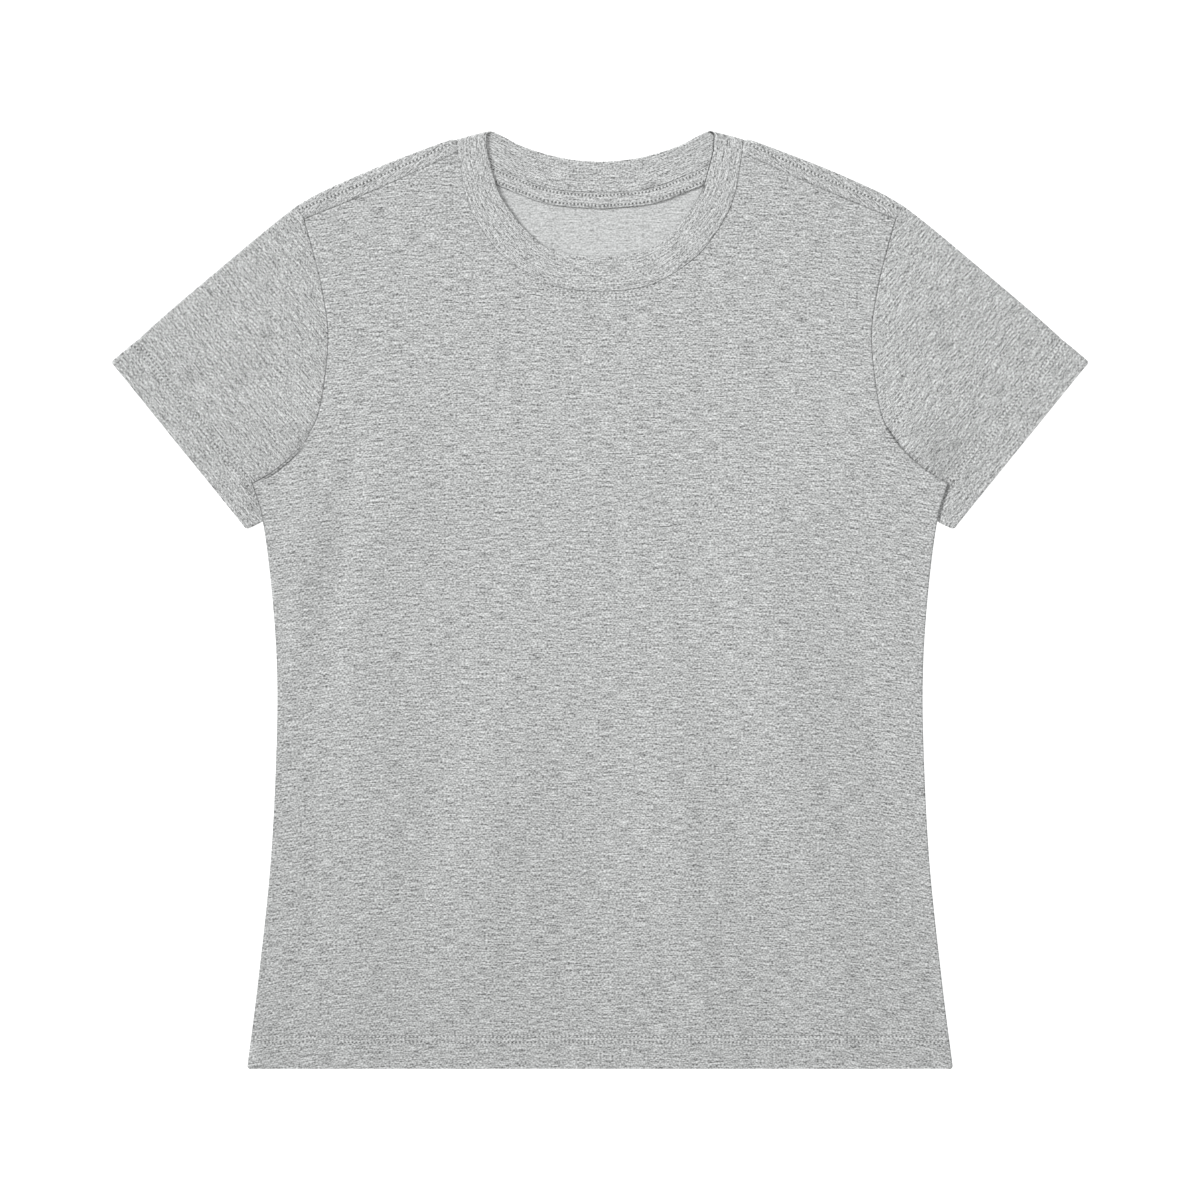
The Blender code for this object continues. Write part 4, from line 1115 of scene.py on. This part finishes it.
def sleeve_heights(plan, share, mirror):
    """Mid heights of the upper and of the lower layer, share of the way from fold to fold. Beside
    the armhole a sleeve is lifted as far as the body is. Lower down, where it is tucked in, its two
    layers are pressed together."""
    x, y = plan[..., 0], plan[..., 1]
    beyond = x - body_half_width(y)
    within = smooth_step(share, 0, SLEEVE_FOLD_EDGE) * smooth_step(1 - share, 0, SLEEVE_FOLD_EDGE)
    clear = within * smooth_step(beyond, 0.0, np.interp(y, *SLEEVE_EASE_IN))
    depth = (plan - CUFF_TOP) @ into_body
    seam = closeness(inset_from(armhole[::-1], x, y)) * smooth_step(y, *SEAM_FADE)
    hem = HEM_RISE * fading(depth, *CUFF_EASE)
    lift = (tuck_rise(body_half_width(y), y) * smooth_step(y, *SLEEVE_LIFT_UP)
            * fading(beyond, *SLEEVE_LIFT_OUT))
    press = fading(beyond, *PRESS_OUT) * fading(y, *PRESS_UP)
    upper = (FRONT_MID + hem + lift - SLEEVE_PRESS * press
             + clear * folds(x * mirror, y, SLEEVE_RIDGES)
             + smooth_step(within, 0.0, TROUGH_EDGE) * folds(x * mirror, y, TROUGHS)
             - GROOVE_DEPTH * seam + row_troughs(depth, CUFF_ROWS))
    lower = BACK_MID + UNDER_DEPTH * seam - row_troughs(depth, CUFF_ROWS)
    return upper, lower


def flat_tube(plan, upper, lower):
    """Rings of (half turn, upper layer, turn, lower layer, half turn). In a turn, plan = end +
    outward * radius * sin(turn) and z = middle + radius * cos(turn)."""
    turns, half = np.linspace(0.0, np.pi, TUBE_TURNS + 1)[1:-1], TUBE_TURNS // 2

    def turned(end, before, angles):
        outward = unit(plan[:, end] - plan[:, before])[:, None]
        middle, radius = ((upper[:, [end]] + sign * lower[:, [end]]) / 2 for sign in (1, -1))
        xy = plan[:, [end]] + outward * (radius * np.sin(angles))[..., None]
        return lifted(xy, middle + radius * np.cos(angles))

    return np.concatenate([turned(0, 1, turns[half - 1::-1]), lifted(plan, upper),
                           turned(-1, -2, turns), lifted(plan, lower)[:, ::-1],
                           turned(0, 1, turns[:half - 1:-1])], axis=1)


# %% Make both sleeves
def make_sleeve(name, mirror):
    """A sleeve. Its map has (down the cuff, in from it), counted on past the top fold."""
    plan = sleeve_plan()[:, ::-1]
    rings = flat_tube(plan, *sleeve_heights(plan, np.linspace(0.0, 1.0, plan.shape[1]), mirror))
    closed = np.concatenate([rings, rings[:, :1]], axis=1)
    along, depth = ((closed[..., :2] - CUFF_TOP) @ way for way in (down_cuff, into_body))
    outermost = TUBE_TURNS + plan.shape[1] - 1
    after = np.arange(closed.shape[1]) > outermost
    cut = np.stack([np.where(after, 2 * along[:, [outermost]] - along, along), depth], axis=-1)
    numbers = numbers_of(rings)
    numbers = np.hstack([numbers, numbers[:, :1]])
    inner = WALL / 2 + HEM_EXTRA * fading(depth[:, :-1], *CUFF_EASE).ravel()
    x, y, _ = np.moveaxis(rings, -1, 0)
    seam = smooth_step(y, *SEAM_FADE) * closeness(inset_from(armhole[::-1], x, y))
    # Painted shade under the arm of the left sleeve.
    seam = np.maximum(seam, folds(x * mirror, y, PAINTED_UNDERARM_SHADE))
    return shell(name, (rings * (mirror, 1, 1)).reshape(-1, 3), [(numbers, cut, cut)],
                 [sleeve_jersey[mirror], inside], seam, inner, face=mirror)


sleeves = {}
for label, mirror in MIRRORS:
    sleeves[mirror] = make_sleeve(f"sleeve_cloth_{label}", mirror)
    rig.replaces(sleeves[mirror], f"sleeve_{label}")
    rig.slot(sleeves[mirror], "jersey")

# %% [markdown]
# ## The neckband
# The band is a strip of fine rib, folded along its length, with its fold at the neck edge and both of
# its cut edges in the seam. So its section is a narrow U, and that section is carried round the
# neck: along the back, over the shoulder fold, down the front and back again. Its two ends are
# joined at the wearer's left shoulder.

# %% Section and ring
BAND_WALL, BAND_STEP = 0.0018, -0.0001
BAND_HALF = (BAND_WALL - WALL) / 2      # from the band's middle to the middle of either layer
BAND_SHARES = np.concatenate([(1.0, 0.985, 0.965, 0.94), np.linspace(0.90, 0.05, 13)])
BAND_TURNS, BAND_BENDS, BAND_CROWN, BAND_DIP = 12, 9, 0.00018, 0.0005
FACES_TABLE = -0.9               # up-component of the normal under which the band faces the table


def band_rows():
    """Rows of (edge point, seam point, normal) for half the ring, from the centre back."""
    def rows(edge, seam, height, face):
        normal = np.tile((0.0, 0.0, face), (len(edge), 1))
        return np.column_stack([edge, height(edge), seam, height(seam), normal])

    def matched(points, seam):
        return divided(through(points, STEP / 4), len(seam) - 1)

    back = rows(matched(BACK_NECK_EDGE, back_neck)[::-1], back_neck[::-1],
                lambda point: np.full(len(point), BAND_WALL / 2), -1.0)
    front = rows(np.vstack([BAND_LIP, matched(FRONT_NECK_EDGE, front_neck)]),
                 np.vstack([BAND_FOLD_SEAM, front_neck]),
                 lambda point: front_base(*point.T) + BAND_STEP, 1.0)
    along = unit(np.subtract(BAND_FOLD_SEAM, BAND_FOLD_EDGE))
    outward = np.array([-along[1], along[0]])
    angle = np.linspace(0.0, np.pi, BAND_TURNS + 1)[1:-1][:, None]
    turn = []
    for column in (0, 3):
        radius = (front[0, column + 2] - back[-1, column + 2]) / 2
        start, goal = back[-1, column:column + 2], front[0, column:column + 2]
        turn += [start + (goal - start) * angle / np.pi + outward * radius * np.sin(angle),
                 back[-1, column + 2] + radius * (1 - np.cos(angle))]
    return np.vstack([back, np.hstack(turn + [outward * np.sin(angle), -np.cos(angle)]), front])


def band_grid():
    """The middle of the folded strip. From the seam to the fold and back, a point lies at edge +
    (seam - edge) * share, and the strip's half height away from the band's middle on either side.
    Returns the points, how far each lies from the neck edge, and its painted shade: its closeness
    to a seam, and a painted shadow line along the fold."""
    half = band_rows()
    ring = np.vstack([half, half[-2:0:-1] * (-1, 1, 1, -1, 1, 1, -1, 1, 1)])
    ring = np.roll(ring, -len(back_neck) - 1, axis=0)
    edge, seam, normal = (ring[:, None, k:k + 3] for k in (0, 3, 6))
    width = np.linalg.norm(edge - seam, axis=-1)
    at_fold = BAND_HALF + WALL / 2
    bend = np.linspace(0.0, np.pi, BAND_BENDS)
    layer = at_fold + BAND_SHARES * (width - at_fold)
    from_edge = np.hstack([layer, at_fold - BAND_HALF * np.sin(bend) + 0 * width, layer[:, ::-1]])
    crown = BAND_CROWN * (1 - (2 * BAND_SHARES - 1) ** 2)
    offset = np.concatenate([-BAND_HALF - 0 * crown, -BAND_HALF * np.cos(bend),
                             (BAND_HALF + crown)[::-1]])
    strength = np.where(normal[..., 2] > 0, np.interp(seam[..., 1], *NECK_LINE)
                        * np.where(seam[..., 0] < 0, *NECK_SIDES), BACK_LINE)
    near = strength * closeness(width - from_edge)
    offset = offset - BAND_DIP * near * np.clip(normal[..., 2], 0.0, 1.0)
    point = edge + (seam - edge) * (from_edge / width)[..., None] + normal * offset[..., None]
    # A painted shadow line along the fold of the band at the neck edge, where it lies on the cloth beneath.
    turning = np.concatenate([0 * BAND_SHARES, np.minimum(EDGE_SHARP * np.sin(bend), 1.0),
                              0 * BAND_SHARES])
    edge_line = np.where(normal[..., 2] > FACES_TABLE, np.interp(edge[..., 1], *EDGE_LINE), 0.0)
    edge_line = edge_line * np.where(edge[..., 0] < 0, *EDGE_SIDES)
    return point, from_edge, np.maximum(near, edge_line * turning)


# %% Make the band
grid, from_edge, seam = band_grid()
ring = grid[:, grid.shape[1] // 4]
run = run_of(np.vstack([ring, ring[:1]]))[:, None]
sign = np.where(np.arange(grid.shape[1]) < grid.shape[1] // 2, -1.0, 1.0)
cut = np.stack(np.broadcast_arrays(run, np.vstack([from_edge, from_edge[:1]]) * sign), axis=-1)
numbers = numbers_of(grid)
numbers = np.vstack([numbers, numbers[:1]])
band_cloth = shell("band_cloth", grid.reshape(-1, 3), [(numbers, cut, cut)], [band_rib], seam,
                   face=-1)
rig.replaces(band_cloth, "neckband")
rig.slot(band_cloth, "neckband_rib")
print("the band is", round(float(run[-1, 0]), 3), "m round")

# %% [markdown]
# ## The tape
# Inside the back of the neck a narrow strip of the same jersey covers the seam. It is held by two
# rows of stitches, and between them it stands up a little.

# %% Make the tape
TAPE_WIDTH, TAPE_REACH, TAPE_MID, TAPE_CROWN = 0.0109, 0.93, 0.0015, 0.0002
TAPE_SHARES, TAPE_COLUMNS = np.linspace(1.0, 0.0, 15)[:, None], 36


def tape_height(inset):
    """Mid height of the tape, that far below its upper edge: crowned, with its rows drawn down."""
    crown = 1 - (2 * inset / TAPE_WIDTH - 1) ** 2
    return TAPE_MID + TAPE_CROWN * crown + row_troughs(inset, TAPE_ROWS)


neck_run = run_of(back_neck)[-1]
tape_run = neck_run * TAPE_REACH
line = at_run(back_neck, np.linspace(neck_run - tape_run, neck_run, TAPE_COLUMNS))
plan = np.array([mirrored(beside(line, SEAM_GAP + share * TAPE_WIDTH))
                 for share in TAPE_SHARES[:, 0]])
inset = TAPE_SHARES * TAPE_WIDTH + 0 * plan[..., 0]
grid = lifted(plan, tape_height(inset))
half_run = run_of(line)[-1] - run_of(line)
cut = np.stack([np.concatenate([-half_run, half_run[-2::-1]]) + 0 * inset, inset], axis=-1)
# Painted shade along the tape's seam and along its lower edge.
seam = np.maximum(BACK_LINE * closeness(inset), TAPE_LINE * closeness(TAPE_WIDTH - inset))
tape_cloth = shell("tape_cloth", grid.reshape(-1, 3), [(numbers_of(grid), cut, cut)],
                   [tape_jersey], seam)
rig.replaces(tape_cloth, "neck_tape")
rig.slot(tape_cloth, "neck_tape")

# %% [markdown]
# ## The stitches
# Hems are sewn with a twin needle, so two rows of stitches lie side by side on the right side. Each
# stitch is a short piece of thread that comes out of one needle hole, arches a little and goes down
# into the next. One spindle with 36 points stands for it, and numpy repeats it along every row.

# %% One stitch, and rows of it
ALONG_STITCH = np.array([-1.0, -0.85, -0.4, 0.4, 0.85, 1.0])   # from one hole to the next
STITCH_SIDES = 6
AROUND_STITCH = np.arange(STITCH_SIDES) * 2 * np.pi / STITCH_SIDES
STITCH_SHARE, STITCH_WIDTH, STITCH_HEIGHT, STITCH_ARCH = 0.66, 0.0009, 0.00036, 0.00015
STITCH_TIP = 0.2                 # least share of its thickness, at both ends
CHAIN_WIDTH, CHAIN_SLANT = 0.0013, np.radians(35)    # the shoulder's thicker chain stitch


def spindles(centre, along, up, length, width):
    """A spindle at each centre: centre + along * t * length / 2 + up * arch * (1 - t^2), and round
    that an ellipse that narrows with sqrt(1 - t^2), to a fifth at both ends."""
    t, turn = ALONG_STITCH[None, :, None, None], AROUND_STITCH[None, None, :, None]
    slim = np.maximum(np.sqrt(1 - t ** 2), STITCH_TIP)
    aside = unit(np.cross(up, along))
    centre, along, up, aside = (way[:, None, None, :] for way in (centre, along, up, aside))
    return (centre + along * t * length / 2 + up * STITCH_ARCH * (1 - t ** 2)
            + slim * (aside * np.cos(turn) * width + up * np.sin(turn) * STITCH_HEIGHT) / 2)


def sew(name, rows, slot):
    """One piece for several rows of stitches; each row is (centre, along, up, length, width)."""
    points = np.concatenate([spindles(*row) for row in rows])
    count, one = len(points), numbers_of(points[0])
    first = np.arange(count)[:, None, None] * one.size
    quads = (corners_of(np.hstack([one, one[:, :1]])) + first).reshape(-1, 4)
    caps = (np.stack([one[0, ::-1], one[-1]]) + first).reshape(-1, STITCH_SIDES)
    around = np.arange(STITCH_SIDES + 1) / STITCH_SIDES
    sheet = np.stack(np.broadcast_arrays(ALONG_STITCH[:, None], around[None, :]), axis=-1)
    ends = np.stack([np.column_stack([np.full(STITCH_SIDES, t), around[:-1]])
                     for t in (-1.0, 1.0)])
    thread_map = np.concatenate([np.tile(corners_of(sheet).ravel(), count),
                                 np.tile(ends.ravel(), count)])
    piece = into_piece(name, points.reshape(-1, 3), list(quads) + list(caps),
                       {"thread": thread_map}, [thread])
    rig.slot(piece, slot)
    print(name, count, "stitches")
    return piece


def follow(line, offset, run):
    """Points beside a line, on its right, at the given lengths along the line itself."""
    return rows_between(run, run_of(line), moved(line, offset))


def stitches_on(place, first, last, pitch, height, face=1, slant=0.0, mirrors=(1, -1),
                width=STITCH_WIDTH):
    """A row of stitches, one in the middle of each step of the pitch, on both halves of the shirt.
    place(run) gives the plan of the row, and height the middle of its cloth."""
    run = (np.arange(first, last) + 0.5) * pitch

    def on_skin(at):
        plan = place(at)
        return np.column_stack([plan, height(*plan.T) + face * WALL / 2])

    along = unit(on_skin(run + pitch / 4) - on_skin(run - pitch / 4))
    up = np.tile((0.0, 0.0, float(face)), (len(run), 1))
    along = along * np.cos(slant) + np.cross(up, along) * np.sin(slant)
    return [(on_skin(run) * (mirror, 1, 1), along * (mirror, 1, 1), up, pitch * STITCH_SHARE, width)
            for mirror in mirrors]


# %% The thread
THREAD_GREY, THREAD_RELIEF = 0.84, 0.00005
THREAD_TURNS = 1.5               # turns of the twist on half a stitch
PLY_SHADE, PLY_SWING = 0.90, 0.10
# Painted shade: a stitch darkens towards its ends, where it dives into the needle holes.
END_FROM, END_SHADE = 0.55, 0.35     # a stitch darkens from there to its ends, to that shade

thread, tree, shader = new_material("sewing_thread", {"Roughness": 0.7})
split = add_node(tree, "ShaderNodeSeparateXYZ",
                 {0: add_node(tree, "ShaderNodeUVMap", uv_map="thread").outputs[0]}).outputs
twist = compute(tree, "COSINE", compute(tree, "MULTIPLY", compute(
    tree, "MULTIPLY_ADD", split["X"], THREAD_TURNS, split["Y"]), 2 * np.pi))
# Painted shade towards both ends of every stitch.
ends = add_node(tree, "ShaderNodeMapRange",
                {"Value": compute(tree, "ABSOLUTE", split["X"]), "From Min": 1.0,
                 "From Max": END_FROM, "To Min": END_SHADE, "To Max": 1.0},
                interpolation_type="SMOOTHSTEP").outputs[0]
ply = compute(tree, "MULTIPLY_ADD", twist, PLY_SWING, PLY_SHADE)
colour = add_node(tree, "ShaderNodeVectorMath", {0: [THREAD_GREY * part for part in TINT],
                                                 1: compute(tree, "MULTIPLY", ends, ply)},
                  operation="MULTIPLY")
bump = add_node(tree, "ShaderNodeBump", {"Height": twist, "Distance": THREAD_RELIEF})
tree.links.new(colour.outputs[0], shader.inputs["Base Color"])
tree.links.new(bump.outputs[0], shader.inputs["Normal"])

# %% Sew everything
HEM_MARGIN = 0.004               # from the last stitch of a hem to the side
hem_count = int((SIDE[0][0] - HEM_MARGIN) / HEM_PITCH)
neck_count = int(NECK_REACH / NECK_PITCH)
tape_count = int(tape_run / TAPE_PITCH)
cuff_count = int(cuff_width / HEM_PITCH)


def hem_place(row):
    """A row of the body's hem, from the centre outwards."""
    return lambda run: np.column_stack([run, np.full(len(run), HEM_LINE + row)])


def neck_place(seam):
    """A row beside a neck seam, at any distance, from the middle outwards."""
    return lambda row: lambda run: follow(seam[::-1], row, run)


def cuff_place(row):
    """A row of a cuff, down from its top fold."""
    return lambda run: CUFF_TOP + down_cuff * run[:, None] + into_body * row


def cuff_height(mirror, layer):
    """Mid height of one layer of a sleeve at its cuff."""
    def height(x, y):
        plan = np.column_stack([x, y])
        share = np.clip(((plan - CUFF_TOP) @ down_cuff) / cuff_width, 0.0, 1.0)
        return sleeve_heights(plan, share, mirror)[layer]
    return height


def rows_at(distances, place, *settings):
    """Rows of stitches at several distances from an edge."""
    return [row for distance in distances
            for row in stitches_on(place(distance), 0, *settings)]


front_rows = (rows_at(HEM_ROWS, hem_place, hem_count, HEM_PITCH, front_height)
              + rows_at(NECK_ROWS, neck_place(front_neck), neck_count, NECK_PITCH, front_height))
back_rows = (rows_at(HEM_ROWS, hem_place, hem_count, HEM_PITCH, back_height, -1)
             + rows_at(TAPE_ROWS, neck_place(back_neck), tape_count, TAPE_PITCH, back_height, -1))
tape_rows = [row for down in TAPE_ROWS
             for row in rows_at((down + SEAM_GAP,), neck_place(back_neck), tape_count, TAPE_PITCH,
                                lambda x, y: np.full(len(x), tape_height(down)))]
chain_line = strip_end + (fold_centre - strip_end) * (
    SHOULDER_ROW / np.linalg.norm(fold_centre - strip_end, axis=1)[:, None])
chain_run = run_of(seam_line)
shoulder_rows = stitches_on(
    lambda run: rows_between(run, chain_run, chain_line),
    1, int(chain_run[-1] / SHOULDER_PITCH) - 1, SHOULDER_PITCH,
    lambda x, y: np.interp(-x, -chain_line[:, 0], BACK_MID + 2 * turn_radius) - ROW_DEPTH,
    slant=CHAIN_SLANT, width=CHAIN_WIDTH)
stitching = {"front": [sew("front_stitches", front_rows, "jersey")],
             "back": [sew("back_stitches", back_rows, "jersey"),
                      sew("shoulder_stitches", shoulder_rows, "jersey")],
             "tape": [sew("tape_stitches", tape_rows, "neck_tape")]}
for label, mirror in MIRRORS:
    rows = [row for deep in CUFF_ROWS for layer, face in ((0, 1), (1, -1))
            for row in stitches_on(cuff_place(deep), 1, cuff_count, HEM_PITCH,
                                   cuff_height(mirror, layer), face, mirrors=(mirror,))]
    stitching[label] = [sew(f"cuff_stitches_{label}", rows, "jersey")]

# %% Say what the sheets are
for piece, flat, area, under, sewn in (
        (front_cloth, (0.505, 0.66), 0.275, ["back_cloth"], "front"),
        (back_cloth, (0.505, 0.68), 0.294, [], "back"),
        (sleeves[1], (0.42, 0.19), 0.044, ["back_cloth"], "left"),
        (sleeves[-1], (0.42, 0.19), 0.044, ["back_cloth"], "right"),
        (band_cloth, (0.56, 0.049), None, ["front_cloth"], None),
        (tape_cloth, (0.21, 0.0109), None, ["back_cloth"], "tape")):
    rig.sheet(piece, flat=flat, area=area, held="laid", rests_on=under,
             with_pieces=stitching.get(sewn, []))

# %% Finish
with open("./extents.json", "w") as file:
    json.dump({"cad": [list(map(float, corner)) for corner in cad_box],
               "visual": [list(map(float, corner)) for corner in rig.bounds()]}, file)
